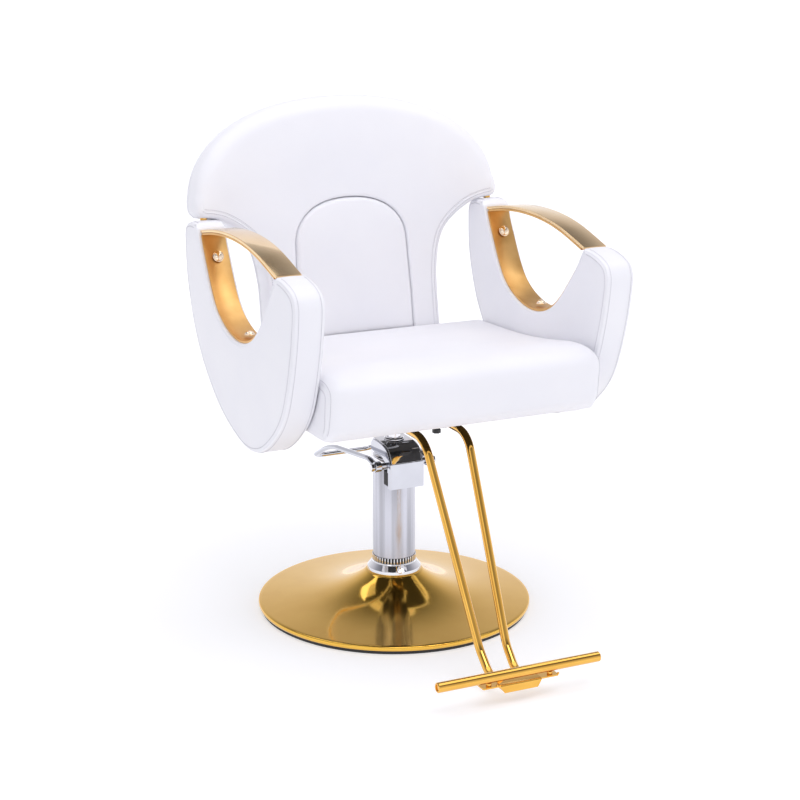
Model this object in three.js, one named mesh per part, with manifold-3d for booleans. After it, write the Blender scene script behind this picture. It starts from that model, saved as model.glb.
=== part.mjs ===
// Salon styling chair: round pedestal base, hydraulic pump column with a foot pedal, upholstered
// seat with winged back, two slab arms with metal armrests, and a T-bar footrest.
// Millimetres, +Z up. The sitter faces -Y. The origin is the centre of the base on the floor.

import * as THREE from 'three';
import { mergeVertices } from 'three/addons/utils/BufferGeometryUtils.js';
import Module from 'manifold-3d';

const wasm = await Module();
wasm.setup();

// ---------------------------------------------------------------- driving dimensions

const GAP = 0.3; // left between pieces that touch

// pedestal base
const BASE_R = 275;
const DOME_RIM_Z = 17; // top of the rolled rim
const DOME_TOP_Z = 75; // where the column collar stands
const DOME_HOLE_R = 40;
const DOME_TOP_R = 56;
const DOME_WALL = 3.5;
const RING_TOP = 7;
const RING_R = 270;
const PLATE_R = 180;
const PLATE_TOP = 15;

// column
const SLEEVE_R = 42.4;
const SLEEVE_WALL = 2;
const SLEEVE_TOP = 294;
const COLLAR_R = 54.5;
const COLLAR_TOP = 102;

// hydraulic pump
const BORE_R = 30.3;
const PUMP_R = 36;
const PUMP_FLANGE_R = 75;
const PUMP_FLOOR = 40;
const PUMP_TOP = 293.7;
const GLAND_DEPTH = 14;
const PISTON_R = 29.9;
const PISTON_BOTTOM = 44;
const PISTON_TOP = 62;
const ROD_R = 13.1;
const ROD_STEM_R = 10; // the turned-down end that holds the piston
const ROD_TOP = 439;

// pump head, as a block across X with a rounded front
const HEAD_X = 36;
const HEAD_TOP = 347.5;
const HEAD_FRONT = -60.5;
const COVER_BACK = -46.6;
const COVER_BOTTOM = 262;
const COVER_TOP = 313;
const COVER_WALL = 2;
const FLANGE_BACK = -25; // the cover's side flanges reach back beside the column
const FLANGE_TOP = 294;

// pedal
const PIVOT_Y = -40;
const PIVOT_Z = 307;
const SHAFT_R = 6;
const SHAFT_X = 62;
const LEG_X = 55;
const TREAD_X = 70; // the pedal bar widens to this at its far end
const PLUNGER_Y = -24.5;
const PLUNGER_R = 4;
const PLUNGER_TOP = 299.3;

// seat
const SEAT_X = 279.5;
const SEAT_CORNER_R = 29;
const SEAT_BOTTOM = 453;
const SEAT_FRONT = -331;
const BOARD_THICK = 12;
const BOARD_X = 262;
const MOUNT_X = 95;
const MOUNT_BOLT = 75;
const MOUNT_TOP = 452.7;
const MOUNT_THICK = 5;
const HUB_BOTTOM = 415;
const HUB_R = 32;

// back, drawn in its own leaning frame: X across, Y through it to the rear, Z up along it
const BACK_ORIGIN = [0, 176, 535];
const BACK_LEAN = Math.atan(0.15);
const BACK_X = 330;
const BACK_DISH = 26; // how far forward the wing tips stand
const BACK_TOP = 470;
const BACK_WIDEST = 265;
const BACK_BOTTOM = -72;
const STEM_X = 188;
const SHELL_THICK = 54;
const BACK_THICK = 72;
const PAD_X = 127;
const PAD_SHOULDER = 170;
const PAD_RISE = 97;
const PAD_BOTTOM = -4;
const PAD_RECESS = 12;
const PAD_PROUD = 5;

// arms
const ARM_IN = 282;
const ARM_OUT = 342;
const BAND_IN = 288;
const BAND_OUT = 336;
const ARM_MID = 312;
const BAND_THICK = 4.5;
const ARMREST_THICK = 10.5;
const ARM_BOLT_Y = [-120, 40];
const ARM_BOLT_Z = 459.3;
const POST_R = 7;
const POST_Y = 208;

// footrest
const FOOT_ROD_R = 8;
const FOOT_TOP_X = 45;
const FOOT_LOW_X = 26.5;
const BAR_R = 9.4;
const BAR_X = 164.5;
const BAR_Y = -525.7;
const BAR_Z = 54.3;
const TREAD_PLATE_X = 77;
const TREAD_PLATE_TOP = 38.5;
const TREAD_PLATE_THICK = 2.5;
const CLAMP_Y = [-143, -103];
const FOOT_ROD_Z = 413;

// ---------------------------------------------------------------- materials

function finish(name, color, roughness, metalness) {
  return new THREE.MeshStandardMaterial({ name, color, roughness, metalness });
}

const GOLD = finish('polished_gold', 0xd9a441, 0.12, 1);
const BRUSHED_GOLD = finish('brushed_gold', 0xc99b52, 0.32, 1);
const CHROME = finish('chrome', 0xd8dade, 0.08, 1);
const SATIN_CHROME = finish('satin_chrome', 0xc9cbd2, 0.25, 1);
const STEEL = finish('steel', 0x8d9096, 0.45, 1);
const IRON = finish('cast_iron', 0x3a3b3d, 0.7, 0.6);
const RUBBER = finish('black_rubber', 0x151515, 0.8, 0);
const LEATHER = finish('white_leather', 0xf3f2f6, 0.5, 0);
const PLYWOOD = finish('plywood', 0xb48a5a, 0.75, 0);

// ---------------------------------------------------------------- geometry helpers

// Joins shared vertices and drops the triangles that collapse on an axis.
function weld(geometry) {
  const bare = geometry.clone();
  bare.deleteAttribute('normal');
  bare.deleteAttribute('uv');
  const merged = mergeVertices(bare, 1e-4);
  const index = merged.index.array;
  const kept = [];
  for (let i = 0; i < index.length; i += 3) {
    const [a, b, c] = [index[i], index[i + 1], index[i + 2]];
    if (a !== b && b !== c && c !== a) {
      kept.push(a, b, c);
    }
  }
  merged.setIndex(kept);
  return merged;
}

function toSolid(geometry) {
  const closed = weld(geometry);
  return new wasm.Manifold(
    new wasm.Mesh({
      numProp: 3,
      vertProperties: new Float32Array(closed.attributes.position.array),
      triVerts: new Uint32Array(closed.index.array),
    })
  );
}

function toGeometry(solid) {
  const mesh = solid.getMesh();
  const geometry = new THREE.BufferGeometry();
  geometry.setAttribute('position', new THREE.BufferAttribute(mesh.vertProperties, 3));
  geometry.setIndex(new THREE.BufferAttribute(mesh.triVerts, 1));
  geometry.computeVertexNormals();
  return geometry;
}

function join(...geometries) {
  return toGeometry(geometries.map(toSolid).reduce((sum, next) => sum.add(next)));
}

function cut(geometry, ...tools) {
  return toGeometry(tools.map(toSolid).reduce((rest, tool) => rest.subtract(tool), toSolid(geometry)));
}

function common(first, second) {
  return toGeometry(toSolid(first).intersect(toSolid(second)));
}

function polygon(points) {
  return new THREE.Shape(points.map(([u, v]) => new THREE.Vector2(u, v)));
}

function extrude(shape, depth, curveSegments = 6) {
  return new THREE.ExtrudeGeometry(shape, { depth, bevelEnabled: false, curveSegments });
}

const X_AXIS = new THREE.Vector3(1, 0, 0);
const Y_AXIS = new THREE.Vector3(0, 1, 0);
const Z_AXIS = new THREE.Vector3(0, 0, 1);

// A (y, z) outline swept across X.
function prismX(shape, x0, x1) {
  const turned = new THREE.Matrix4().makeBasis(Y_AXIS, Z_AXIS, X_AXIS);
  return extrude(shape, x1 - x0).applyMatrix4(turned).translate(x0, 0, 0);
}

// An (x, z) outline swept along Y.
function prismY(shape, y0, y1) {
  const turned = new THREE.Matrix4().makeBasis(X_AXIS, Z_AXIS, Y_AXIS.clone().negate());
  return extrude(shape, y1 - y0).applyMatrix4(turned).translate(0, y1, 0);
}

// An (x, y) outline swept along Z.
function prismZ(shape, z0, z1) {
  return extrude(shape, z1 - z0).translate(0, 0, z0);
}

// A closed or axis-to-axis (radius, height) profile, counter-clockwise, turned about Z.
function revolve(profile, segments = 32) {
  const points = profile.map(([r, z]) => new THREE.Vector2(r, z));
  return new THREE.LatheGeometry(points, segments).rotateX(Math.PI / 2);
}

function ring(inner, outer, z0, z1, segments = 32) {
  return revolve([[inner, z0], [outer, z0], [outer, z1], [inner, z1], [inner, z0]], segments);
}

function box(x0, x1, y0, y1, z0, z1) {
  const geometry = new THREE.BoxGeometry(x1 - x0, y1 - y0, z1 - z0);
  return geometry.translate((x0 + x1) / 2, (y0 + y1) / 2, (z0 + z1) / 2);
}

// A round or many-sided bar from one point to another.
function bar(radius, from, to, sides = 12) {
  const start = new THREE.Vector3(...from);
  const end = new THREE.Vector3(...to);
  const along = end.clone().sub(start);
  const turn = new THREE.Quaternion().setFromUnitVectors(Y_AXIS, along.clone().normalize());
  const middle = start.add(end).multiplyScalar(0.5);
  return new THREE.CylinderGeometry(radius, radius, along.length(), sides)
    .applyQuaternion(turn)
    .translate(middle.x, middle.y, middle.z);
}

// A hexagon-headed bolt: the head starts at `from`, and the shank runs on to `to`.
function bolt(headRadius, headLength, shankRadius, from, to) {
  const start = new THREE.Vector3(...from);
  const step = new THREE.Vector3(...to).sub(start).normalize();
  const seat = start.clone().addScaledVector(step, headLength);
  return join(
    bar(headRadius, from, seat.toArray(), 6),
    bar(shankRadius, start.addScaledVector(step, headLength / 2).toArray(), to, 8)
  );
}

// A path of straight runs whose corners are rounded off over the given lengths.
function roundedPath(corners, setbacks) {
  const points = corners.map((corner) => new THREE.Vector3(...corner));
  const path = new THREE.CurvePath();
  let from = points[0];
  for (let i = 1; i < points.length - 1; i += 1) {
    const toPrevious = points[i - 1].clone().sub(points[i]).normalize();
    const toNext = points[i + 1].clone().sub(points[i]).normalize();
    const before = points[i].clone().addScaledVector(toPrevious, setbacks[i - 1]);
    const after = points[i].clone().addScaledVector(toNext, setbacks[i - 1]);
    path.add(new THREE.LineCurve3(from, before));
    path.add(new THREE.QuadraticBezierCurve3(before, points[i], after));
    from = after;
  }
  path.add(new THREE.LineCurve3(from, points[points.length - 1]));
  return path;
}

function sweep(shape, path, steps) {
  const options = { steps, extrudePath: path, bevelEnabled: false, curveSegments: 3 };
  return new THREE.ExtrudeGeometry(shape, options);
}

function circle(radius) {
  return new THREE.Shape().absarc(0, 0, radius, 0, 2 * Math.PI);
}

// The points of an outline moved inwards by a distance; the outline runs counter-clockwise.
function inset(points, distance) {
  const count = points.length;
  return points.map((point, i) => {
    const before = points[(i + count - 1) % count];
    const after = points[(i + 1) % count];
    const inward = (from, to) => {
      const length = Math.hypot(to[0] - from[0], to[1] - from[1]);
      return [-(to[1] - from[1]) / length, (to[0] - from[0]) / length];
    };
    const first = inward(before, point);
    const second = inward(point, after);
    const spread = 1 + first[0] * second[0] + first[1] * second[1];
    return [
      point[0] + (distance * (first[0] + second[0])) / spread,
      point[1] + (distance * (first[1] + second[1])) / spread,
    ];
  });
}

const chair = new THREE.Group();

function place(name, geometry, material, group = chair) {
  const mesh = new THREE.Mesh(weld(geometry), material.clone());
  mesh.name = name;
  group.add(mesh);
}

// ---------------------------------------------------------------- base and column

// Height of the dome's upper face: nearly flat near the rim, flaring up into the collar.
function domeHeight(radius) {
  const inward = (BASE_R - radius) / (BASE_R - DOME_TOP_R);
  return DOME_RIM_Z + (DOME_TOP_Z - DOME_RIM_Z) * (0.36 * inward + 0.64 * inward ** 4);
}

function domeProfile() {
  const rings = 8;
  const upper = [];
  const lower = [];
  for (let i = 0; i <= rings; i += 1) {
    const radius = BASE_R - 6 - ((BASE_R - 6 - DOME_TOP_R) * i) / rings;
    upper.push([radius, domeHeight(radius)]);
    lower.unshift([radius - DOME_WALL / 2, domeHeight(radius) - DOME_WALL]);
  }
  const rimLip = RING_TOP + GAP;
  return [
    [BASE_R - 9, rimLip],
    [BASE_R - 3, rimLip],
    [BASE_R, rimLip + 4],
    [BASE_R - 2, domeHeight(BASE_R) - 1],
    ...upper,
    [DOME_HOLE_R, DOME_TOP_Z],
    [DOME_HOLE_R, DOME_TOP_Z - DOME_WALL],
    ...lower,
    [BASE_R - 9, rimLip],
  ];
}

function addBase() {
  place('base_dome', revolve(domeProfile(), 40), GOLD);
  place('base_edge_ring', ring(RING_R - 14, RING_R, 0, RING_TOP, 48), RUBBER);
  const plate = [[0, 0], [PLATE_R, 0], [PLATE_R, PLATE_TOP - 3], [PLATE_R - 3, PLATE_TOP], [0, PLATE_TOP]];
  place('base_weight_plate', revolve(plate, 36), IRON);
}

function addColumn() {
  const collar = [
    [SLEEVE_R + GAP, DOME_TOP_Z + GAP],
    [COLLAR_R - 4, DOME_TOP_Z + GAP],
    [COLLAR_R, DOME_TOP_Z + 5],
    [COLLAR_R, DOME_TOP_Z + 10],
    [COLLAR_R - 3, DOME_TOP_Z + 14],
    [SLEEVE_R + 3, COLLAR_TOP - 8],
    [SLEEVE_R + 2.5, COLLAR_TOP],
    [SLEEVE_R + GAP, COLLAR_TOP],
    [SLEEVE_R + GAP, DOME_TOP_Z + GAP],
  ];
  place('column_collar', revolve(collar), CHROME);
  const sleeve = ring(SLEEVE_R - SLEEVE_WALL, SLEEVE_R, DOME_TOP_Z + GAP, SLEEVE_TOP);
  place('column_sleeve', sleeve, SATIN_CHROME);
}

// ---------------------------------------------------------------- hydraulic pump

function addPump() {
  const body = [
    [0, PLATE_TOP + GAP],
    [PUMP_FLANGE_R, PLATE_TOP + GAP],
    [PUMP_FLANGE_R, PLATE_TOP + 10],
    [PUMP_R, PLATE_TOP + 10],
    [PUMP_R, PUMP_TOP],
    [BORE_R, PUMP_TOP],
    [BORE_R, PUMP_FLOOR],
    [0, PUMP_FLOOR],
  ];
  place('pump_body', revolve(body, 24), STEEL);

  const glandBottom = PUMP_TOP - GLAND_DEPTH;
  const gland = ring(ROD_R + GAP, BORE_R - GAP, glandBottom, PUMP_TOP, 24);
  const boreEnds = [glandBottom - 1, PUMP_TOP + 1].map((z) => [0, PLUNGER_Y, z]);
  const plungerBore = bar(PLUNGER_R + GAP, ...boreEnds);
  place('pump_gland', cut(gland, plungerBore), STEEL);
  addHead();

  place('pump_plunger', bar(PLUNGER_R, [0, PLUNGER_Y, 283], [0, PLUNGER_Y, PLUNGER_TOP]), STEEL);
}

// The chrome casting on top of the column, and the sheet cover over the front of its lever.
function addHead() {
  const side = new THREE.Shape();
  side.moveTo(HEAD_FRONT, COVER_TOP + GAP);
  side.bezierCurveTo(HEAD_FRONT, 328, -50, 339, -24, 343);
  side.lineTo(-10, HEAD_TOP);
  side.lineTo(30, HEAD_TOP);
  side.lineTo(SLEEVE_R - 1, HEAD_TOP - 12);
  side.lineTo(SLEEVE_R - 1, SLEEVE_TOP + GAP);
  side.lineTo(COVER_BACK, SLEEVE_TOP + GAP);
  side.lineTo(COVER_BACK, COVER_TOP + GAP);
  const foot = revolve([[0, SLEEVE_TOP + GAP], [SLEEVE_R, SLEEVE_TOP + GAP], [SLEEVE_R, 318], [0, 318]]);
  const block = join(prismX(side, -HEAD_X, HEAD_X), foot);
  const rodBore = bar(ROD_R + GAP, [0, 0, SLEEVE_TOP - 5], [0, 0, HEAD_TOP + 5], 24);
  const shaftBore = bar(SHAFT_R + GAP, [-60, PIVOT_Y, PIVOT_Z], [60, PIVOT_Y, PIVOT_Z]);
  const leverSlot = box(-9, 9, COVER_BACK - 13, PLUNGER_Y + 6, SLEEVE_TOP - 1, PIVOT_Z + 13);
  place('pump_head', cut(block, rodBore, shaftBore, leverSlot), CHROME);
  place('rod_seal_ring', ring(ROD_R + GAP, ROD_R + 7, HEAD_TOP + GAP, HEAD_TOP + 4.5, 24), CHROME);

  const shell = box(-HEAD_X - 0.5, HEAD_X + 0.5, HEAD_FRONT - 1, COVER_BACK, COVER_BOTTOM, COVER_TOP);
  const hollow = box(
    -HEAD_X + COVER_WALL,
    HEAD_X - COVER_WALL,
    HEAD_FRONT - 1 + COVER_WALL,
    COVER_BACK + 1,
    COVER_BOTTOM + COVER_WALL,
    COVER_TOP + 1
  );
  const flanges = [-1, 1].map((side) => {
    const [x0, x1] = [side * (HEAD_X + 0.5), side * (HEAD_X + 0.5 - COVER_WALL)].sort((a, b) => a - b);
    return box(x0, x1, COVER_BACK - 1, FLANGE_BACK, COVER_BOTTOM + 2, FLANGE_TOP);
  });
  place('head_front_cover', join(cut(shell, hollow), ...flanges), CHROME);

  const springAxisY = (HEAD_FRONT - 1 + COVER_WALL + COVER_BACK) / 2;
  const spring = coil(4.2, 0.8, 6, COVER_BOTTOM + 4, 297);
  place('pedal_return_spring', spring.translate(0, springAxisY, 0), STEEL);
}

// A helical spring standing on Z.
function coil(radius, wire, turns, z0, z1) {
  class Helix extends THREE.Curve {
    getPoint(t) {
      const angle = 2 * Math.PI * turns * t;
      const height = z0 + (z1 - z0) * t;
      return new THREE.Vector3(radius * Math.cos(angle), radius * Math.sin(angle), height);
    }
  }
  const options = { steps: turns * 10, extrudePath: new Helix(), bevelEnabled: false, curveSegments: 1 };
  const section = polygon([[wire, 0], [0, wire], [-wire, 0], [0, -wire]]);
  return new THREE.ExtrudeGeometry(section, options);
}

// ---------------------------------------------------------------- foot pedal

function addPedal() {
  const shaftEnds = [-SHAFT_X, SHAFT_X].map((x) => [x, PIVOT_Y, PIVOT_Z]);
  place('pedal_shaft', bar(SHAFT_R, ...shaftEnds, 16), CHROME);

  const flat = new THREE.Shape().absellipse(0, 0, 5.2, 6.2, 0, 2 * Math.PI);
  const corners = [
    [-LEG_X, PIVOT_Y - 2, PIVOT_Z - 2],
    [-LEG_X - 2, -4, 315],
    [-LEG_X - 10, 168, 296],
    [-TREAD_X, 252, 250],
    [TREAD_X, 252, 250],
    [LEG_X + 10, 168, 296],
    [LEG_X + 2, -4, 315],
    [LEG_X, PIVOT_Y - 2, PIVOT_Z - 2],
  ];
  const loop = sweep(flat, roundedPath(corners, [26, 60, 34, 34, 60, 26]), 56);
  const eyes = [-1, 1].map((side) => {
    const inner = side * (LEG_X - 9);
    const outer = side * (LEG_X + 6);
    return bar(11, [inner, PIVOT_Y, PIVOT_Z], [outer, PIVOT_Y, PIVOT_Z], 16);
  });
  const boreReach = [-SHAFT_X - 20, SHAFT_X + 20].map((x) => [x, PIVOT_Y, PIVOT_Z]);
  const bore = bar(SHAFT_R + GAP, ...boreReach, 16);
  place('pedal_loop', cut(join(loop, ...eyes), bore), CHROME);

  for (const [side, label] of [[-1, 'left'], [1, 'right']]) {
    const start = side * (SHAFT_X + GAP);
    const end = side * (SHAFT_X + 7.5);
    place(`pedal_nut_${label}`, bar(8.5, [start, PIVOT_Y, PIVOT_Z], [end, PIVOT_Y, PIVOT_Z], 6), CHROME);
  }

  const disc = bar(9.5, [-6, PIVOT_Y, PIVOT_Z], [6, PIVOT_Y, PIVOT_Z], 16);
  const nose = box(-6, 6, PIVOT_Y, PLUNGER_Y + 3, PLUNGER_TOP + 0.7, PIVOT_Z + 3);
  const tail = box(-6, 6, HEAD_FRONT + 5, PIVOT_Y, 300, PIVOT_Z + 2);
  const camBore = bar(SHAFT_R + GAP, [-10, PIVOT_Y, PIVOT_Z], [10, PIVOT_Y, PIVOT_Z], 16);
  place('pedal_cam', cut(join(disc, nose, tail), camBore), STEEL);
}

// ---------------------------------------------------------------- piston, carried up by the oil

function addLift() {
  const rod = [
    [0, PISTON_BOTTOM],
    [ROD_STEM_R, PISTON_BOTTOM],
    [ROD_STEM_R, PISTON_TOP + GAP],
    [ROD_R, PISTON_TOP + GAP],
    [ROD_R, ROD_TOP - 3],
    [ROD_R - 3, ROD_TOP],
    [0, ROD_TOP],
  ];
  place('piston_rod', revolve(rod, 24), CHROME);

  const grooveR = PISTON_R - 4;
  const piston = [
    [ROD_STEM_R + GAP, PISTON_BOTTOM],
    [PISTON_R, PISTON_BOTTOM],
    [PISTON_R, PISTON_BOTTOM + 6],
    [grooveR, PISTON_BOTTOM + 6],
    [grooveR, PISTON_BOTTOM + 12],
    [PISTON_R, PISTON_BOTTOM + 12],
    [PISTON_R, PISTON_TOP],
    [ROD_STEM_R + GAP, PISTON_TOP],
    [ROD_STEM_R + GAP, PISTON_BOTTOM],
  ];
  place('piston', revolve(piston, 24), STEEL);
  const seal = ring(grooveR + GAP, BORE_R - 0.1, PISTON_BOTTOM + 6 + GAP, PISTON_BOTTOM + 12 - GAP, 24);
  place('piston_seal', seal, RUBBER);
  place('swivel_bearing', ring(ROD_R + GAP, 26, HUB_BOTTOM - 10, HUB_BOTTOM - GAP, 24), STEEL);
}

// ---------------------------------------------------------------- seat and its fixings

const BOARD_BOTTOM = SEAT_BOTTOM + GAP;
const BOARD_TOP = BOARD_BOTTOM + BOARD_THICK;
const MOUNT_BOTTOM = MOUNT_TOP - MOUNT_THICK;
const BOLT_HEAD = 6;
const BOLT_R = 4;
const BRACKET_THICK = 4.4;
const BRACKET_X = [56, 94];

function mountBoltCentres() {
  return [[-1, -1], [1, -1], [-1, 1], [1, 1]].map(([x, y]) => [x * MOUNT_BOLT, y * MOUNT_BOLT]);
}

function upHole(x, y) {
  return bar(BOLT_R + GAP, [x, y, 400], [x, y, BOARD_TOP + GAP], 8);
}

const FRONT_BOLT = [-38, -265];
const CLAMP_BOLT = [0, (CLAMP_Y[0] + CLAMP_Y[1]) / 2];

function armBoltHoles() {
  const holes = [];
  for (const side of [-1, 1]) {
    for (const y of ARM_BOLT_Y) {
      const [start, end] = [side * 240, side * 301];
      holes.push(bar(BOLT_R + GAP, [start, y, ARM_BOLT_Z], [end, y, ARM_BOLT_Z], 8));
    }
  }
  return holes;
}

// The cushion's side: flat underneath, sloping gently down to the rear, with a full rounded front.
function seatProfile() {
  const rearTop = [166, 530];
  const rearLow = [154, SEAT_BOTTOM];
  const shape = new THREE.Shape();
  shape.moveTo(...rearLow);
  shape.lineTo(...rearTop);
  const top = [[59, 533], [-45, 540], [-150, 556], [-235, 571], [-285, 574], [-316, 566], [SEAT_FRONT, 548]];
  const front = [[-330, 520], [-322, 478], [-308, SEAT_BOTTOM]];
  for (const run of [top, front]) {
    shape.splineThru(run.map(([y, z]) => new THREE.Vector2(y, z)));
  }
  return shape;
}

// The cushion from above: square at the rear, rounded at its two front corners.
function seatPlan() {
  const front = SEAT_FRONT - 1;
  const shape = new THREE.Shape();
  shape.moveTo(-SEAT_X, 200);
  shape.lineTo(-SEAT_X, front + SEAT_CORNER_R);
  shape.absarc(-SEAT_X + SEAT_CORNER_R, front + SEAT_CORNER_R, SEAT_CORNER_R, Math.PI, 1.5 * Math.PI);
  shape.absarc(SEAT_X - SEAT_CORNER_R, front + SEAT_CORNER_R, SEAT_CORNER_R, 1.5 * Math.PI, 2 * Math.PI);
  shape.lineTo(SEAT_X, 200);
  return shape;
}

function addSeat() {
  const holes = [...mountBoltCentres(), FRONT_BOLT, CLAMP_BOLT].map(([x, y]) => upHole(x, y));
  // the rounded corners lean with the front face, which is set back towards the bottom
  const lean = 0.24;
  const shear = new THREE.Matrix4().set(1, 0, 0, 0, 0, 1, -lean, lean * 548, 0, 0, 1, 0, 0, 0, 0, 1);
  const plan = prismZ(seatPlan(), SEAT_BOTTOM - 1, 600).applyMatrix4(shear);
  const block = common(prismX(seatProfile(), -SEAT_X, SEAT_X), plan);
  const boardY = [-288, 140];
  const pocket = box(
    -BOARD_X - GAP,
    BOARD_X + GAP,
    boardY[0] - GAP,
    boardY[1] + GAP,
    SEAT_BOTTOM - 5,
    BOARD_TOP + GAP
  );
  place('seat_cushion', cut(block, pocket, ...armBoltHoles()), LEATHER);
  const board = box(-BOARD_X, BOARD_X, ...boardY, BOARD_BOTTOM, BOARD_TOP);
  place('seat_board', cut(board, ...holes, ...armBoltHoles()), PLYWOOD);

  const plate = box(-MOUNT_X, MOUNT_X, -MOUNT_X, MOUNT_X, MOUNT_BOTTOM, MOUNT_TOP);
  const plateHoles = mountBoltCentres().map(([x, y]) => upHole(x, y));
  place('seat_mount_plate', cut(plate, ...plateHoles), STEEL);
  const hub = [
    [ROD_R + GAP, HUB_BOTTOM],
    [HUB_R - 8, HUB_BOTTOM],
    [HUB_R, MOUNT_BOTTOM - 8],
    [HUB_R, MOUNT_BOTTOM - GAP],
    [0, MOUNT_BOTTOM - GAP],
    [0, ROD_TOP + 1],
    [ROD_R + GAP, ROD_TOP + 1],
    [ROD_R + GAP, HUB_BOTTOM],
  ];
  place('swivel_hub', revolve(hub, 24), STEEL);

  mountBoltCentres().forEach(([x, y], i) => {
    const under = y > 0 ? MOUNT_BOTTOM - BRACKET_THICK - 2 * GAP : MOUNT_BOTTOM - GAP;
    const shaft = bolt(8, BOLT_HEAD, BOLT_R, [x, y, under - BOLT_HEAD], [x, y, BOARD_TOP - 1]);
    place(`mount_bolt_${i + 1}`, shaft, STEEL);
  });
  const frontBolt = bolt(8, 7, BOLT_R, [...FRONT_BOLT, 435], [...FRONT_BOLT, BOARD_TOP - 1]);
  place('seat_front_bolt', frontBolt, STEEL);
}

// ---------------------------------------------------------------- back

function backFace(x) {
  return -BACK_DISH * (x / BACK_X) ** 2;
}

// Outline of the back: half-oval top, rounded wing tips, and an hourglass stem.
function backOutline(shrink = 0) {
  const right = [];
  right.push([STEM_X - shrink, BACK_BOTTOM + shrink]);
  right.push([STEM_X - shrink, 60]);
  const wing = new THREE.SplineCurve([
    [STEM_X, 100], [198, 162], [220, 202], [264, 236], [300, 249], [318, 251],
  ].map(([x, v]) => new THREE.Vector2(x, v)));
  for (const point of wing.getPoints(8)) {
    right.push([point.x - shrink, point.y + shrink]);
  }
  const power = 2.2;
  const steps = 12;
  const widest = BACK_WIDEST + shrink;
  const height = BACK_TOP - shrink - widest;
  for (let i = 0; i < steps; i += 1) {
    const x = (BACK_X - shrink) * Math.cos((Math.PI / 2) * (i / steps));
    const rise = (1 - (x / (BACK_X - shrink)) ** power) ** (1 / power);
    right.push([x, widest + height * rise]);
  }
  const left = right.map(([x, v]) => [-x, v]).reverse();
  return [...right, [0, BACK_TOP - shrink], ...left];
}

// A slab of even thickness, dished forward at its sides, trimmed to an outline.
function dishedSlab(outline, front, rear) {
  const steps = 14;
  const reach = BACK_X + 20;
  const faces = [];
  for (let i = 0; i <= steps; i += 1) {
    const x = -reach + (2 * reach * i) / steps;
    faces.push([x, backFace(x)]);
  }
  const section = [
    ...faces.map(([x, y]) => [x, y + front]),
    ...faces.map(([x, y]) => [x, y + rear]).reverse(),
  ];
  return common(
    prismZ(polygon(section), BACK_BOTTOM - 20, BACK_TOP + 20),
    prismY(polygon(outline), -120, 160)
  );
}

function padOutline(shrink) {
  const steps = 14;
  const points = [[PAD_X - shrink, PAD_BOTTOM + shrink]];
  for (let i = 0; i <= steps; i += 1) {
    const angle = (Math.PI * i) / steps;
    const across = (PAD_X - shrink) * Math.cos(angle);
    points.push([across, PAD_SHOULDER + (PAD_RISE - shrink) * Math.sin(angle)]);
  }
  points.push([-PAD_X + shrink, PAD_BOTTOM + shrink]);
  return points;
}

function addBack() {
  const back = new THREE.Group();
  back.position.set(...BACK_ORIGIN);
  back.rotation.x = -BACK_LEAN;
  chair.add(back);

  const recess = dishedSlab(padOutline(0), -20, PAD_RECESS);
  const postHoles = [-1, 1].map((side) => postInBack(side, POST_R + GAP, 6));
  const shell = dishedSlab(backOutline(), 0, SHELL_THICK);
  place('back_shell', cut(shell, recess, ...postHoles), LEATHER, back);
  place('back_inner_pad', dishedSlab(padOutline(1), -PAD_PROUD, PAD_RECESS - GAP), LEATHER, back);

  const boardRear = SHELL_THICK + 2 * GAP + BOARD_THICK;
  const board = dishedSlab(backOutline(16), SHELL_THICK + GAP, boardRear - GAP);
  const cover = dishedSlab(backOutline(), SHELL_THICK + GAP, BACK_THICK);
  const pocket = dishedSlab(backOutline(15.5), SHELL_THICK - 5, boardRear);
  const bolts = [-1, 1].map((side) => [side * (BRACKET_X[0] + BRACKET_X[1]) * 0.5, 10]);
  const holes = bolts.map(([x, v]) => bar(BOLT_R + GAP, [x, SHELL_THICK + 3, v], [x, 100, v], 8));
  place('back_board', cut(board, ...holes), PLYWOOD, back);
  place('back_rear_cover', cut(cover, pocket, ...holes), LEATHER, back);
  bolts.forEach(([x, v], i) => {
    const headOuter = BACK_THICK + GAP + BRACKET_THICK + GAP + BOLT_HEAD;
    const shaft = bolt(8, BOLT_HEAD, BOLT_R, [x, headOuter, v], [x, SHELL_THICK + 4, v]);
    place(`back_bolt_${i + 1}`, shaft, STEEL, back);
  });
  addBrackets(back, bolts);
}

// A wing post is upright, so in the leaning frame of the back it is turned the other way.
function postInBack(side, radius, extra) {
  const toBack = ([x, y, z]) => {
    const [dy, dz] = [y - BACK_ORIGIN[1], z - BACK_ORIGIN[2]];
    const [c, s] = [Math.cos(BACK_LEAN), Math.sin(BACK_LEAN)];
    return [x, dy * c - dz * s, dy * s + dz * c];
  };
  const low = [side * ARM_MID, POST_Y, POST_LOW - extra];
  const high = [side * ARM_MID, POST_Y, POST_HIGH + (extra ? GAP : 0)];
  return bar(radius, toBack(low), toBack(high), 12);
}

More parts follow.
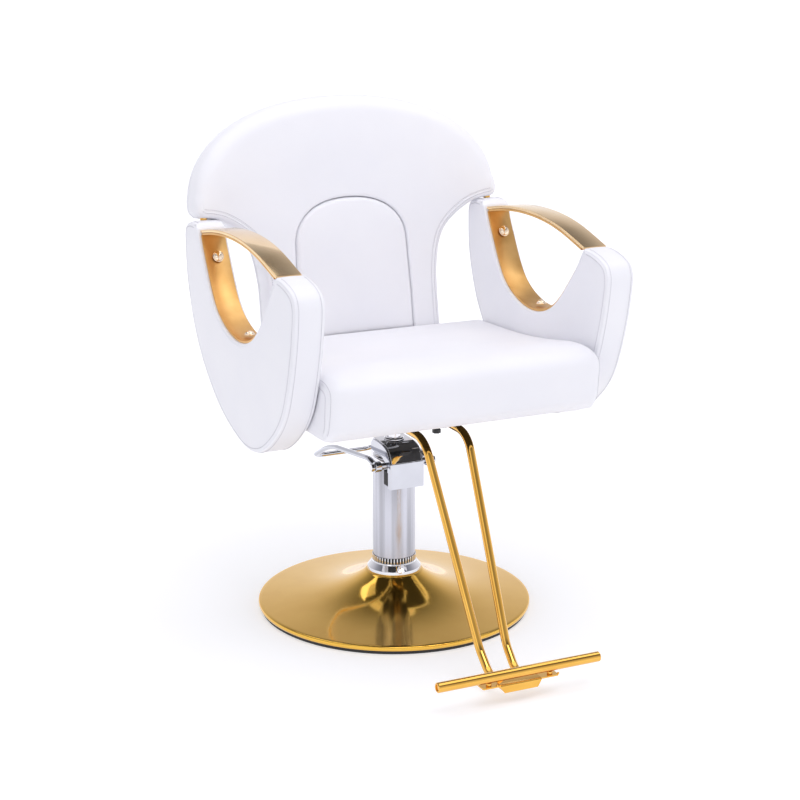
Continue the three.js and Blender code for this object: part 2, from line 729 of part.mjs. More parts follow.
// Flat steel bars bent up behind the back; the rear mounting bolts hold their lower ends.
function addBrackets(back, bolts) {
  const [c, s] = [Math.cos(BACK_LEAN), Math.sin(BACK_LEAN)];
  const onBack = (through, up) => [
    BACK_ORIGIN[1] + through * c + up * s,
    BACK_ORIGIN[2] - through * s + up * c,
  ];
  const near = BACK_THICK + GAP;
  const far = near + BRACKET_THICK;
  const top = MOUNT_BOTTOM - GAP;
  const bottom = top - BRACKET_THICK;
  const alongBack = (through, z) => {
    const up = (z - BACK_ORIGIN[2] + through * s) / c;
    return onBack(through, up);
  };
  const outline = [
    [MOUNT_BOLT - 20, bottom],
    alongBack(far, bottom),
    onBack(far, 38),
    onBack(near, 38),
    alongBack(near, top),
    [MOUNT_BOLT - 20, top],
  ];
  for (const [side, label] of [[-1, 'left'], [1, 'right']]) {
    const [x0, x1] = [side * BRACKET_X[0], side * BRACKET_X[1]].sort((a, b) => a - b);
    const [x, v] = bolts[side < 0 ? 0 : 1];
    const rearHole = bar(BOLT_R + GAP, [x, ...onBack(near - 10, v)], [x, ...onBack(far + 10, v)], 8);
    const boltX = side * MOUNT_BOLT;
    const seatHole = bar(BOLT_R + GAP, [boltX, MOUNT_BOLT, 430], [boltX, MOUNT_BOLT, 460], 8);
    place(`back_bracket_${label}`, cut(prismX(polygon(outline), x0, x1), rearHole, seatHole), STEEL);
  }
}

// ---------------------------------------------------------------- arms

const ARM_TOP = 774;
const REAR_END = [165, 770]; // where the armrest meets the rear of the arm
const FRONT_END = [-236, 747];
const POST_LOW = ARM_TOP - 18;
const POST_HIGH = 804;

// The slab's outer sweep, from its rear top corner down, under and up to its front.
const ARM_SWEEP = [
  [237, 752], [237, 730], [234, 675], [219, 618], [190, 555], [141, 495], [64, 436], [-25, 401], [-95, 392],
  [-160, 409], [-223, 451], [-267, 499], [-295, 560], [-316, 632], [-326, 695], [-313, 728], [-290, 740],
];

const NOTCH = [REAR_END, [140, 716], [76, 624], [-22, 588], [-117, 610], [-196, 689], FRONT_END];
const ARMREST_TOP = [FRONT_END, [-139, 773], [-60, 784], [20, 786], [95, 781], REAR_END];

function spline(points, count) {
  const curve = new THREE.SplineCurve(points.map(([u, v]) => new THREE.Vector2(u, v)));
  return curve.getPoints(count).map((point) => [point.x, point.y]);
}

// Counter-clockwise outline, seen from +X, of the hand opening under the armrest.
function openingOutline() {
  const notch = spline(NOTCH, 22);
  const top = spline(ARMREST_TOP, 14);
  return [...notch, ...top.slice(1, -1)].reverse();
}

function lowered(points, distance) {
  return points.map(([y, z]) => [y, z - distance]);
}

function addArms() {
  const opening = openingOutline();
  const lining = inset(opening, GAP);
  const outline = [
    [200, ARM_TOP - 2],
    [229, ARM_TOP - 10],
    ...spline(ARM_SWEEP, 34),
    [-262, 745],
    FRONT_END,
    REAR_END,
    [168, ARM_TOP],
  ];
  for (const [side, label] of [[-1, 'left'], [1, 'right']]) {
    const span = (inner, outer) => [side * inner, side * outer].sort((a, b) => a - b);
    const post = bar(
      POST_R + GAP,
      [side * ARM_MID, POST_Y, POST_LOW - GAP],
      [side * ARM_MID, POST_Y, ARM_TOP + 6]
    );
    const boltHoles = ARM_BOLT_Y.map((y) =>
      bar(BOLT_R + GAP, [side * 270, y, ARM_BOLT_Z], [side * 301, y, ARM_BOLT_Z], 8)
    );
    const body = prismX(polygon(outline), ...span(ARM_IN, ARM_OUT));
    const window = prismX(polygon(opening), ...span(ARM_IN - 20, ARM_OUT + 20));
    const bandBolts = [
      { at: [134, 716], into: [1, -0.42] },
      { at: [-30, 593], into: [-0.06, -1] },
    ].map(({ at, into }) => {
      const inward = new THREE.Vector2(...into).normalize();
      const reach = (distance) => {
        const [y, z] = [at[0] + inward.x * distance, at[1] + inward.y * distance];
        return [side * ARM_MID, y, z];
      };
      return {
        head: [reach(-8), reach(-1)],
        shank: [reach(-3), reach(24)],
        hole: [reach(-10), reach(25)],
      };
    });
    const drilled = bandBolts.map(({ hole }) => bar(3 + GAP, ...hole, 8));
    place(`arm_${label}`, cut(body, window, post, ...boltHoles, ...drilled), LEATHER);

    const bandSpan = span(BAND_IN, BAND_OUT);
    const whole = prismX(polygon(lining), ...bandSpan);
    const wider = span(BAND_IN - 9, BAND_OUT + 9);
    const below = prismX(polygon(lowered(lining, ARMREST_THICK)), ...wider);
    place(`armrest_${label}`, cut(whole, below), BRUSHED_GOLD);
    const hand = prismX(polygon(inset(opening, BAND_THICK)), ...wider);
    const liningBelow = prismX(polygon(lowered(lining, ARMREST_THICK + GAP)), ...wider);
    const band = common(whole, liningBelow);
    place(`arm_band_${label}`, cut(band, hand, ...drilled), BRUSHED_GOLD);

    bandBolts.forEach(({ head, shank }, i) => {
      const dome = join(bar(9.4, ...head, 16), bar(3, ...shank, 8));
      place(`band_bolt_${label}_${i + 1}`, dome, GOLD);
    });
    ARM_BOLT_Y.forEach((y, i) => {
      const shaft = bar(BOLT_R, [side * 245, y, ARM_BOLT_Z], [side * 300, y, ARM_BOLT_Z], 8);
      place(`arm_bolt_${label}_${i + 1}`, shaft, STEEL);
    });
    const stud = bar(POST_R, [side * ARM_MID, POST_Y, POST_LOW], [side * ARM_MID, POST_Y, POST_HIGH]);
    place(`wing_post_${label}`, stud, GOLD);
  }
}

// ---------------------------------------------------------------- footrest

function addFootrest() {
  const plateBottom = TREAD_PLATE_TOP - TREAD_PLATE_THICK;
  const lowZ = plateBottom - GAP - FOOT_ROD_R;
  for (const [side, label] of [[-1, 'left'], [1, 'right']]) {
    const corners = [
      [side * FOOT_TOP_X, CLAMP_Y[1] - 1, FOOT_ROD_Z],
      [side * FOOT_TOP_X, -229, FOOT_ROD_Z],
      [side * (FOOT_LOW_X + 1), -425, 63.5],
      [side * FOOT_LOW_X, -462, lowZ],
      [side * FOOT_LOW_X, BAR_Y - 2, lowZ],
    ];
    const path = roundedPath(corners, [44, 18, 14]);
    place(`footrest_rod_${label}`, sweep(circle(FOOT_ROD_R), path, 36), GOLD);
  }
  place('footrest_bar', bar(BAR_R, [-BAR_X, BAR_Y, BAR_Z], [BAR_X, BAR_Y, BAR_Z], 20), GOLD);

  const front = BAR_Y - 9;
  const tread = box(-TREAD_PLATE_X, TREAD_PLATE_X, front, BAR_Y + 25, plateBottom, TREAD_PLATE_TOP);
  const lip = prismY(
    polygon([[-34, 20], [34, 20], [41, TREAD_PLATE_TOP - 1], [-41, TREAD_PLATE_TOP - 1]]),
    front,
    front + TREAD_PLATE_THICK
  );
  const bosses = [-62, 62].map((x) => bar(5, [x, BAR_Y, plateBottom + 1], [x, BAR_Y, BAR_Z - BAR_R - GAP]));
  place('kick_plate', join(tread, lip, ...bosses), GOLD);

  const [boltX, boltY] = CLAMP_BOLT;
  const clampTop = SEAT_BOTTOM - GAP;
  const blocks = [-1, 1].map((side) => {
    const [near, far] = [side * (FOOT_TOP_X - 12), side * (FOOT_TOP_X + 12)].sort((a, b) => a - b);
    return box(near, far, ...CLAMP_Y, FOOT_ROD_Z - FOOT_ROD_R - 3, clampTop);
  });
  const rodBores = [-1, 1].map((side) => {
    const x = side * FOOT_TOP_X;
    return bar(FOOT_ROD_R + GAP, [x, CLAMP_Y[0] - 5, FOOT_ROD_Z], [x, CLAMP_Y[1] + 5, FOOT_ROD_Z]);
  });
  const clamp = join(box(-65, 65, ...CLAMP_Y, clampTop - 5, clampTop), ...blocks);
  place('footrest_clamp', cut(clamp, upHole(boltX, boltY), ...rodBores), STEEL);
  const headBottom = clampTop - 5 - GAP - 7;
  const centreBolt = bolt(9, 7, BOLT_R, [boltX, boltY, headBottom], [boltX, boltY, BOARD_TOP - 1]);
  place('footrest_bolt', centreBolt, STEEL);
}

// ---------------------------------------------------------------- assembly

addBase();
addColumn();
addPump();
addPedal();
addLift();
addSeat();
addBack();
addArms();
addFootrest();

export default chair;
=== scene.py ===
"""Looks of the salon styling chair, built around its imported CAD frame. Lengths here are millimetres."""

import math

import bmesh
import bpy
import numpy as np
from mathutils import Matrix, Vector
from mathutils.geometry import delaunay_2d_cdt


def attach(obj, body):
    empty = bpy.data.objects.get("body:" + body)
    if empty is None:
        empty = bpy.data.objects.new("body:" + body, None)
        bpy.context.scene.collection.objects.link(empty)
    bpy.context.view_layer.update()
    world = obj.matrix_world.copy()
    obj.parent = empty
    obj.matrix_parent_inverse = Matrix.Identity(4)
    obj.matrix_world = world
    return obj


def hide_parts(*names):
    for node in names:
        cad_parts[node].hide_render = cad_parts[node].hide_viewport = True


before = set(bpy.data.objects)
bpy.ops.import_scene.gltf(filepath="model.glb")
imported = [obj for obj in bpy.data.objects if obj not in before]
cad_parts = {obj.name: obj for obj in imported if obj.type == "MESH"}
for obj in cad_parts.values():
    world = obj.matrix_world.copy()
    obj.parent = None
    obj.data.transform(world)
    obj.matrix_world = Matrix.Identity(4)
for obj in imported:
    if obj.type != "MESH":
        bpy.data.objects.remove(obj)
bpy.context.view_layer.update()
MM = 0.001

# ---------------- dimensions shared with the CAD

GAP = 0.3
BASE_R = 275.0
DOME_TOP_R = 56.0
DOME_RIM_Z = 17.0
DOME_TOP_Z = 75.0
SLEEVE_R = 42.4
SLEEVE_TOP = 294.0
COLLAR_R = 54.5
ROD_R = 13.1
PIVOT_Y = -40.0
PIVOT_Z = 307.0

SEAT_X = 279.5
SEAT_BOTTOM = 453.0

BACK_ORIGIN = (0.0, 176.0, 535.0)
BACK_LEAN = math.atan(0.15)
BACK_X = 330.0
BACK_DISH = 26.0
BACK_TOP = 470.0
BACK_WIDEST = 265.0
BACK_BOTTOM = -72.0
STEM_X = 188.0
SHELL_THICK = 54.0
BACK_THICK = 72.0
PAD_X = 127.0
PAD_SHOULDER = 170.0
PAD_RISE = 97.0
PAD_BOTTOM = -14.0
PAD_RECESS = 12.0

ARM_IN = 282.0
ARM_OUT = 342.0
ARM_MID = 312.0
BAND_HALF = 24.0
BAND_THICK = 4.5
ARMREST_THICK = 10.5
REAR_END = (165.0, 770.0)
FRONT_END = (-236.0, 747.0)

BAR_R = 9.4
BAR_X = 164.5
BAR_Y = -525.7
BAR_Z = 54.3


# ---------------- materials

def material(name, colour, roughness, metallic=0.0):
    """A new node material with object coordinates ready, as (material, nodes, links, shader, coordinates)."""
    made = bpy.data.materials.new(name)
    made.use_nodes = True
    nodes, links = made.node_tree.nodes, made.node_tree.links
    shader = nodes["Principled BSDF"]
    shader.inputs["Base Color"].default_value = (*colour, 1)
    shader.inputs["Roughness"].default_value = roughness
    shader.inputs["Metallic"].default_value = metallic
    where = nodes.new("ShaderNodeTexCoord").outputs["Object"]
    return made, nodes, links, shader, where


def noise(nodes, links, where, scale, detail=3.0, stretch=(1, 1, 1)):
    """A noise texture's value, on coordinates stretched along each axis."""
    mapping = nodes.new("ShaderNodeMapping")
    mapping.inputs["Scale"].default_value = stretch
    links.new(where, mapping.inputs["Vector"])
    texture = nodes.new("ShaderNodeTexNoise")
    texture.inputs["Scale"].default_value = scale
    texture.inputs["Detail"].default_value = detail
    links.new(mapping.outputs["Vector"], texture.inputs["Vector"])
    return texture.outputs["Fac"]


def ramp(nodes, links, value, stops):
    """A value turned into a colour or a grey by a colour ramp."""
    node = nodes.new("ShaderNodeValToRGB")
    while len(node.color_ramp.elements) < len(stops):
        node.color_ramp.elements.new(0.5)
    for element, (position, colour) in zip(node.color_ramp.elements, stops):
        element.position = position
        element.color = (*colour, 1) if hasattr(colour, "__len__") else (colour, colour, colour, 1)
    links.new(value, node.inputs["Fac"])
    return node.outputs["Color"]


def drive(nodes, links, value, stops, socket):
    """Sets a shader socket from a value through a colour ramp."""
    links.new(ramp(nodes, links, value, stops), socket)


def remap(nodes, links, value, low, high, start, end):
    """A value carried linearly from one range to another and held at the ends."""
    node = nodes.new("ShaderNodeMapRange")
    for socket, number in (("From Min", low), ("From Max", high), ("To Min", start), ("To Max", end)):
        node.inputs[socket].default_value = number
    links.new(value, node.inputs["Value"])
    return node.outputs["Result"]


def bump(nodes, links, shader, layers):
    """Stacks bump layers, each (height, strength, distance in metres), on the shader's normal."""
    normal = None
    for height, strength, distance in layers:
        node = nodes.new("ShaderNodeBump")
        node.inputs["Strength"].default_value = strength
        node.inputs["Distance"].default_value = distance
        links.new(height, node.inputs["Height"])
        if normal is not None:
            links.new(normal, node.inputs["Normal"])
        normal = node.outputs["Normal"]
    links.new(normal, shader.inputs["Normal"])


def leather(name, light, dark):
    made, nodes, links, shader, where = material(name, light, 0.46)
    cells = nodes.new("ShaderNodeTexVoronoi")
    cells.feature = "DISTANCE_TO_EDGE"
    cells.inputs["Scale"].default_value = 620
    links.new(where, cells.inputs["Vector"])
    creases = ramp(nodes, links, cells.outputs["Distance"], [(0.0, 0.0), (0.16, 1.0)])
    fine = noise(nodes, links, where, 1400, 4)
    foam = noise(nodes, links, where, 16, 2)
    tone = noise(nodes, links, where, 7, 4)
    drive(nodes, links, tone, [(0.3, dark), (0.7, light)], shader.inputs["Base Color"])
    drive(nodes, links, fine, [(0.3, 0.40), (0.7, 0.53)], shader.inputs["Roughness"])
    shader.inputs["Specular IOR Level"].default_value = 0.45
    shader.inputs["Sheen Weight"].default_value = 0.08
    shader.inputs["Sheen Roughness"].default_value = 0.4
    bump(nodes, links, shader, [(foam, 0.25, 0.0012), (creases, 0.22, 0.00018), (fine, 0.1, 0.0001)])
    return made


def metal(name, colour, shade, roughness, streak=None, wear=0.05, coat=0.0):
    """A plated metal: tone and gloss wander a little, and a brushed one has streaks along one axis; streaks
    that run along Z are also painted into the colour as darker bands, a painted reflection.
    """
    made, nodes, links, shader, where = material(name, colour, roughness, 1.0)
    shader.inputs["Coat Weight"].default_value = coat
    shader.inputs["Coat Roughness"].default_value = 0.06
    tint, gloss = shader.inputs["Base Color"], shader.inputs["Roughness"]
    drive(nodes, links, noise(nodes, links, where, 22, 4), [(0.3, shade), (0.7, colour)], tint)
    if streak:
        lines = noise(nodes, links, where, 1.0, 3, streak)
        # painted reflection: streaks along Z also darken the colour in bands that stand for the streaky
        # reflections of a satin column
        if streak[2] < streak[0]:
            drive(nodes, links, lines, [(0.35, shade), (0.62, colour)], tint)
        drive(nodes, links, lines, [(0.25, roughness - wear), (0.75, roughness + wear)], gloss)
        bump(nodes, links, shader, [(lines, 0.05, 0.00004)])
    else:
        haze = noise(nodes, links, where, 60, 5)
        drive(nodes, links, haze, [(0.35, roughness), (0.75, roughness + wear)], gloss)
        ripple = noise(nodes, links, where, 9, 2)
        bump(nodes, links, shader, [(ripple, 0.05, 0.0008)])
    return made


def grainy(name, colour, shade, roughness, scale, depth, metallic=0.0):
    """Cast, rubber, zinc or cloth: a mottled tone with a grain of the given scale."""
    made, nodes, links, shader, where = material(name, colour, roughness, metallic)
    grain = noise(nodes, links, where, scale, 5)
    drive(nodes, links, grain, [(0.3, shade), (0.7, colour)], shader.inputs["Base Color"])
    spread = [(0.3, roughness - 0.06), (0.7, roughness + 0.06)]
    drive(nodes, links, grain, spread, shader.inputs["Roughness"])
    bump(nodes, links, shader, [(grain, 0.3, depth)])
    return made


LEATHER = leather("white_leather", (0.885, 0.885, 0.918), (0.855, 0.858, 0.90))
THREAD = grainy("thread", (0.50, 0.49, 0.54), (0.40, 0.39, 0.44), 0.7, 2500, 0.0001)
GOLD = metal("polished_gold", (0.88, 0.50, 0.09), (0.83, 0.45, 0.07), 0.04, None, 0.025, 0.5)
BASE_GOLD = metal("base_gold", (0.92, 0.54, 0.075), (0.88, 0.50, 0.06), 0.085, None, 0.04, 0.6)
ACROSS = (5, 2600, 2600)
BRUSHED = metal("brushed_gold", (0.82, 0.51, 0.20), (0.68, 0.39, 0.13), 0.38, ACROSS)
CHAMPAGNE = metal("champagne_gold", (0.97, 0.72, 0.40), (0.93, 0.66, 0.34), 0.12, ACROSS, 0.03, 0.2)
STUD_GOLD = metal("stud_gold", (0.98, 0.84, 0.66), (0.95, 0.78, 0.58), 0.05, wear=0.02)
CHROME = metal("chrome", (0.80, 0.80, 0.825), (0.77, 0.77, 0.80), 0.03, wear=0.02)
# painted shade: a darker copy of the chrome, used on the pedal, its pin and eyes, the cheek plates and the
# lever cover to make them read dimmer than the rest of the chrome
DIMMED_CHROME = metal("chrome_painted_darker", (0.64, 0.65, 0.70), (0.60, 0.61, 0.66), 0.03, wear=0.02)
# satin chrome of the column: its darker colour streaks are painted reflection
SATIN = metal("satin_chrome", (0.62, 0.625, 0.685), (0.42, 0.42, 0.455), 0.2, (90, 90, 1.5))
STEEL = grainy("zinc_steel", (0.55, 0.56, 0.58), (0.44, 0.45, 0.47), 0.38, 300, 0.0001, 1.0)
BLACK_STEEL = grainy("black_steel", (0.030, 0.030, 0.032), (0.02, 0.02, 0.021), 0.55, 500, 0.0002)
IRON = grainy("cast_iron", (0.10, 0.10, 0.11), (0.06, 0.06, 0.065), 0.62, 240, 0.0006, 0.3)
RUBBER = grainy("black_rubber", (0.025, 0.025, 0.027), (0.015, 0.015, 0.016), 0.6, 900, 0.0002)
UNDERCLOTH = grainy("black_undercloth", (0.035, 0.035, 0.038), (0.02, 0.02, 0.022), 0.88, 1500, 0.0003)


# ---------------- mesh helpers

def soften(piece, width, segments):
    """A small bevel on the sharp edges of a piece."""
    rounding = piece.modifiers.new("edges", "BEVEL")
    rounding.width = width * MM
    rounding.segments = segments
    rounding.limit_method = "ANGLE"
    rounding.angle_limit = math.radians(30)


def build(name, verts, faces, body, finish, slot, nodes=(), angle=40, bevel=0.0, weld=False):
    """Makes a piece from points in millimetres; it rides on a body and may stand for CAD nodes."""
    mesh = bpy.data.meshes.new(name)
    mesh.from_pydata((np.asarray(verts, float) * MM).tolist(), [], [tuple(int(i) for i in f) for f in faces])
    made = bmesh.new()
    made.from_mesh(mesh)
    if weld:
        bmesh.ops.remove_doubles(made, verts=made.verts, dist=1e-6)
    bmesh.ops.recalc_face_normals(made, faces=made.faces)
    made.to_mesh(mesh)
    made.free()
    mesh.polygons.foreach_set("use_smooth", [True] * len(mesh.polygons))
    mesh.set_sharp_from_angle(angle=math.radians(angle))
    mesh.materials.append(finish)
    piece = bpy.data.objects.new(name, mesh)
    bpy.context.scene.collection.objects.link(piece)
    if bevel:
        soften(piece, bevel, 3)
    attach(piece, body)
    if nodes:
        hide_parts(*nodes)
    return piece


def unit(vectors):
    """Rows scaled to length one."""
    return vectors / np.linalg.norm(vectors, axis=1)[:, None]


def smooth(t):
    """An even rise from 0 to 1 with flat ends."""
    t = np.clip(t, 0, 1)
    return t * t * (3 - 2 * t)


def merged(parts):
    """Several (verts, faces) as one."""
    verts, faces, start = [], [], 0
    for part_verts, part_faces in parts:
        verts.append(np.asarray(part_verts, float).reshape(-1, 3))
        faces += [tuple(i + start for i in face) for face in part_faces]
        start += len(verts[-1])
    return np.concatenate(verts), faces


def spline(points, count):
    """Uniform Catmull-Rom through the points, as count + 1 points."""
    pts = np.asarray(points, float)
    last = len(pts) - 1
    out = []
    for i in range(count + 1):
        t = i / count * last
        k = min(int(t), last - 1)
        w = t - k
        p0, p1, p2, p3 = pts[max(k - 1, 0)], pts[k], pts[k + 1], pts[min(k + 2, last)]
        v0, v1 = (p2 - p0) / 2, (p3 - p1) / 2
        out.append((2 * p1 - 2 * p2 + v0 + v1) * w**3 + (-3 * p1 + 3 * p2 - 2 * v0 - v1) * w**2 + v0 * w + p1)
    return np.array(out)


def rounded(points, radii, steps=6, closed=True):
    """A polygon or polyline whose corners become arcs; works in two or three dimensions."""
    pts = [np.asarray(p, float) for p in points]
    count = len(pts)
    if not hasattr(radii, "__len__"):
        radii = [radii] * count
    out = []
    for i, point in enumerate(pts):
        if radii[i] <= 0 or (not closed and i in (0, count - 1)):
            out.append(point)
            continue
        a = pts[i - 1] - point
        b = pts[(i + 1) % count] - point
        la, lb = np.linalg.norm(a), np.linalg.norm(b)
        a, b = a / la, b / lb
        half = math.acos(np.clip(a @ b, -1, 1)) / 2
        if half > math.radians(89):
            out.append(point)
            continue
        reach = min(radii[i] / math.tan(half), 0.48 * la, 0.48 * lb)
        radius = reach * math.tan(half)
        middle = (a + b) / np.linalg.norm(a + b)
        centre = point + middle * (radius / math.sin(half))
        start, end = point + a * reach - centre, point + b * reach - centre
        turn = math.pi - 2 * half
        s = math.sin(turn)
        for f in (k / steps for k in range(steps + 1)):
            out.append(centre + start * (math.sin((1 - f) * turn) / s) + end * (math.sin(f * turn) / s))
    return np.array(out)


def densify(points, spacing):
    """A closed line with extra points, so that no segment is longer than the spacing."""
    pts = np.asarray(points, float)
    out = []
    for a, b in zip(pts, np.roll(pts, -1, axis=0)):
        count = max(1, int(math.ceil(np.linalg.norm(b - a) / spacing)))
        out += [a + (b - a) * k / count for k in range(count)]
    return np.array(out)


def even(points, spacing, closed=False):
    """The same line with points at equal distances."""
    pts = np.asarray(points, float)
    if closed:
        pts = np.vstack([pts, pts[:1]])
    along = np.concatenate([[0], np.cumsum(np.linalg.norm(np.diff(pts, axis=0), axis=1))])
    count = max(2, int(round(along[-1] / spacing)))
    at = np.linspace(0, along[-1], count + 1)
    out = np.stack([np.interp(at, along, pts[:, k]) for k in range(pts.shape[1])], axis=1)
    return out[:-1] if closed else out


def tube_faces(rows, count, closed=False):
    """Quads between rows of points; a closed tube ends on its first row and an open one has flat ends."""
    faces = []
    for i in range(rows if closed else rows - 1):
        j = (i + 1) % rows
        for k in range(count):
            n = (k + 1) % count
            faces.append((i * count + k, i * count + n, j * count + n, j * count + k))
    if not closed:
        faces += [tuple(range(count))[::-1], tuple((rows - 1) * count + k for k in range(count))]
    return faces


def lathe(profile, segments=128):
    """A closed (radius, height) profile turned about Z."""
    angles = np.linspace(0, 2 * math.pi, segments, endpoint=False)
    p = np.asarray(profile, float)
    verts = np.concatenate(
        [np.stack([r * np.cos(angles), r * np.sin(angles), np.full(segments, z)], axis=1) for r, z in p]
    )
    return verts, tube_faces(len(p), segments, closed=True)


def frames(path):
    """A sideways and an upward direction at each point of a path, carried along without twist."""
    tangents = unit(np.gradient(path, axis=0))
    side = np.cross((0.0, 0, 1), tangents[0])
    if np.linalg.norm(side) < 1e-6:
        side = np.cross((1.0, 0, 0), tangents[0])
    sides = []
    for tangent in tangents:
        side = side - (side @ tangent) * tangent
        side /= np.linalg.norm(side)
        sides.append(side)
    sides = np.array(sides)
    return sides, np.cross(tangents, sides)


def sweep(path, section):
    """A closed section, (sideways, upward), swept along a path with flat ends."""
    path, section = np.asarray(path, float), np.asarray(section, float)
    verts = [at + section[:, :1] * side + section[:, 1:] * up for at, side, up in zip(path, *frames(path))]
    return np.concatenate(verts), tube_faces(len(path), len(section))


def ellipse(a, b, count=32):
    t = np.linspace(0, 2 * math.pi, count, endpoint=False)
    return np.stack([a * np.cos(t), b * np.sin(t)], axis=1)


def along_axis(profile, origin, axis, segments=48):
    """A (radius, distance) profile turned about any axis."""
    verts, faces = lathe(profile, segments)
    turn = Vector((0, 0, 1)).rotation_difference(Vector(axis).normalized()).to_matrix()
    return verts @ np.array(turn).T + np.asarray(origin, float), faces


def cylinder(radius, length, edge=0.8):
    """Profile of a plain cylinder with rounded rims, from distance 0 to length."""
    near = [(0, 0), (radius - edge, 0), (radius - edge * 0.3, edge * 0.3), (radius, edge)]
    return near + [(r, length - z) for r, z in near[::-1]]


def prism(outline, low, high, axis):
    """An outline extruded along an axis: 'x' takes (y, z) and 'z' takes (x, y)."""
    outline = np.asarray(outline, float)
    column = 0 if axis == "x" else 2
    ends = [np.insert(outline, column, level, axis=1) for level in (low, high)]
    return np.concatenate(ends), tube_faces(2, len(outline))


# ---------------- upholstery helpers

def distance_to(outline, points):
    """How far each point is from a closed outline."""
    a = np.asarray(outline, float)
    b = np.roll(a, -1, axis=0)
    ab = b - a
    length2 = np.maximum((ab**2).sum(axis=1), 1e-12)
    best = np.full(len(points), 1e9)
    for start in range(0, len(points), 2000):
        p = points[start : start + 2000, None, :]
        t = np.clip(((p - a) * ab).sum(axis=2) / length2, 0, 1)
        near = np.linalg.norm(p - (a + t[..., None] * ab), axis=2)
        best[start : start + 2000] = near.min(axis=1)
    return best


def inside(outline, points):
    """Whether each point is inside a closed outline."""
    a = np.asarray(outline, float)
    b = np.roll(a, -1, axis=0)
    x, y = points[:, 0:1], points[:, 1:2]
    crosses = (a[:, 1] > y) != (b[:, 1] > y)
    rise = np.where(np.abs(b[:, 1] - a[:, 1]) < 1e-12, 1e-12, b[:, 1] - a[:, 1])
    at = a[:, 0] + (y - a[:, 1]) * (b[:, 0] - a[:, 0]) / rise
    return (crosses & (x < at)).sum(axis=1) % 2 == 1


def inward(outline):
    """The inward normal at each point of a counter-clockwise closed outline."""
    a = np.asarray(outline, float)
    step = np.roll(a, -1, axis=0) - np.roll(a, 1, axis=0)
    return unit(np.stack([-step[:, 1], step[:, 0]], axis=1))


def offset(outline, distance):
    """The outline moved inwards, without the points that cross over near its tight corners."""
    moved = outline + inward(outline) * distance
    return moved[distance_to(outline, moved) > abs(distance) * 0.97 - 1e-6]


def fill(outline, rings, spacing, extra=()):
    """Triangles that fill an outline, with rows of points at set distances from its edge."""
    outline = np.asarray(outline, float)
    rows = [outline] + [offset(outline, d) for d in rings]
    low, high = outline.min(axis=0), outline.max(axis=0)
    u, v = np.meshgrid(
        np.arange(low[0], high[0], spacing), np.arange(low[1], high[1], spacing * 0.866), indexing="ij"
    )
    u = u + (np.arange(u.shape[1]) % 2)[None, :] * spacing / 2
    grid = np.stack([u.ravel(), v.ravel()], axis=1)
    grid = grid[inside(outline, grid)]
    grid = grid[distance_to(outline, grid) > max(rings, default=0) + spacing * 0.6]
    for line in extra:
        grid = grid[distance_to(line, grid) > spacing * 0.55]
    points = np.concatenate(rows + [grid] + [np.asarray(line) for line in extra])
    count = len(outline)
    edges = [(i, (i + 1) % count) for i in range(count)]
    out, _, faces, origin, _, _ = delaunay_2d_cdt([Vector(p) for p in points], edges, [], 1, 1e-4)
    coords = np.array([[p.x, p.y] for p in out])
    where = {source: i for i, sources in enumerate(origin) for source in sources}
    return coords, [tuple(f) for f in faces], [where[i] for i in range(count)]


def edge_drop(distance, radius):
    """How far a rounded edge falls below its face at a distance from the edge."""
    reach = np.clip(radius - distance, 0, radius)
    return radius - np.sqrt(np.maximum(radius**2 - reach**2, 0))


def edge_rings(radius, steps=7):
    """Distances from the edge that follow a rounded edge evenly."""
    return [radius * (1 - math.cos(math.radians(90 * (k + 1) / steps))) for k in range(steps)]


def groove(distance, at, depth=1.1, width=0.9):
    return depth * np.exp(-(((distance - at) / width) ** 2))


def groove_rings(at):
    return [at - 1.8, at - 0.9, at, at + 0.9, at + 1.8]


def slab(outline, rings, spacing, top, bottom, place, rows=4, swell=1.0, extra=()):
    """A padded slab: two faces over one outline, each at its own height, joined by a side wall."""
    coords, triangles, rim = fill(outline, sorted(rings), spacing, extra)
    distance = distance_to(outline, coords)
    distance[rim] = 0
    count = len(coords)
    u, v = coords[:, 0], coords[:, 1]
    high, low = top(u, v, distance), bottom(u, v, distance)
    verts = [place(u, v, high), place(u, v, low)]
    faces = list(triangles) + [tuple(count + i for i in f[::-1]) for f in triangles]
    normal = inward(outline)
    rim = np.array(rim)
    previous = rim
    start = 2 * count
    for k in range(1, rows):
        f = k / rows
        level = high[rim] * (1 - f) + low[rim] * f
        out = normal * (-swell * math.sin(math.pi * f))
        verts.append(place(u[rim] + out[:, 0], v[rim] + out[:, 1], level))
        current = np.arange(start, start + len(rim))
        start += len(rim)
        faces += _wall(previous, current)
        previous = current
    faces += _wall(previous, rim + count)
    return np.concatenate(verts), faces


def _wall(a, b):
    count = len(a)
    return [(a[i], b[i], b[(i + 1) % count], a[(i + 1) % count]) for i in range(count)]


def stitches(path, normal, length=3.0, pitch=4.8, radius=0.5):
    """Short raised threads along a line of points, as (verts, faces)."""
    path, normal = np.asarray(path, float), np.asarray(normal, float)
    along = np.concatenate([[0], np.cumsum(np.linalg.norm(np.diff(path, axis=0), axis=1))])
    starts = np.arange(pitch / 2, along[-1] - length, pitch)

    def at(values, s):
        return np.stack([np.interp(s, along, values[:, k]) for k in range(3)], axis=1)

    a, b, n = at(path, starts), at(path, starts + length), at(normal, starts + length / 2)
    direction = unit(b - a)
    side = unit(np.cross(direction, n))
    up = np.cross(side, direction)
    rows = []
    stations = [(0.0, 0.35, -0.3), (0.2, 1.0, 0.35), (0.8, 1.0, 0.35), (1.0, 0.35, -0.3)]
    corners = [(1, 0), (0.5, 0.87), (-0.5, 0.87), (-1, 0), (0, -0.8)]
    for f, size, lift in stations:
        centre = a + (b - a) * f + up * (lift * radius)
        for x, y in corners:
            rows.append(centre + side * (x * size * radius) + up * (y * size * radius))
    one = tube_faces(len(stations), len(corners))
    faces = [tuple(i * len(rows) + k for k in face) for i in range(len(a)) for face in one]
    return np.stack(rows, axis=1).reshape(-1, 3), faces


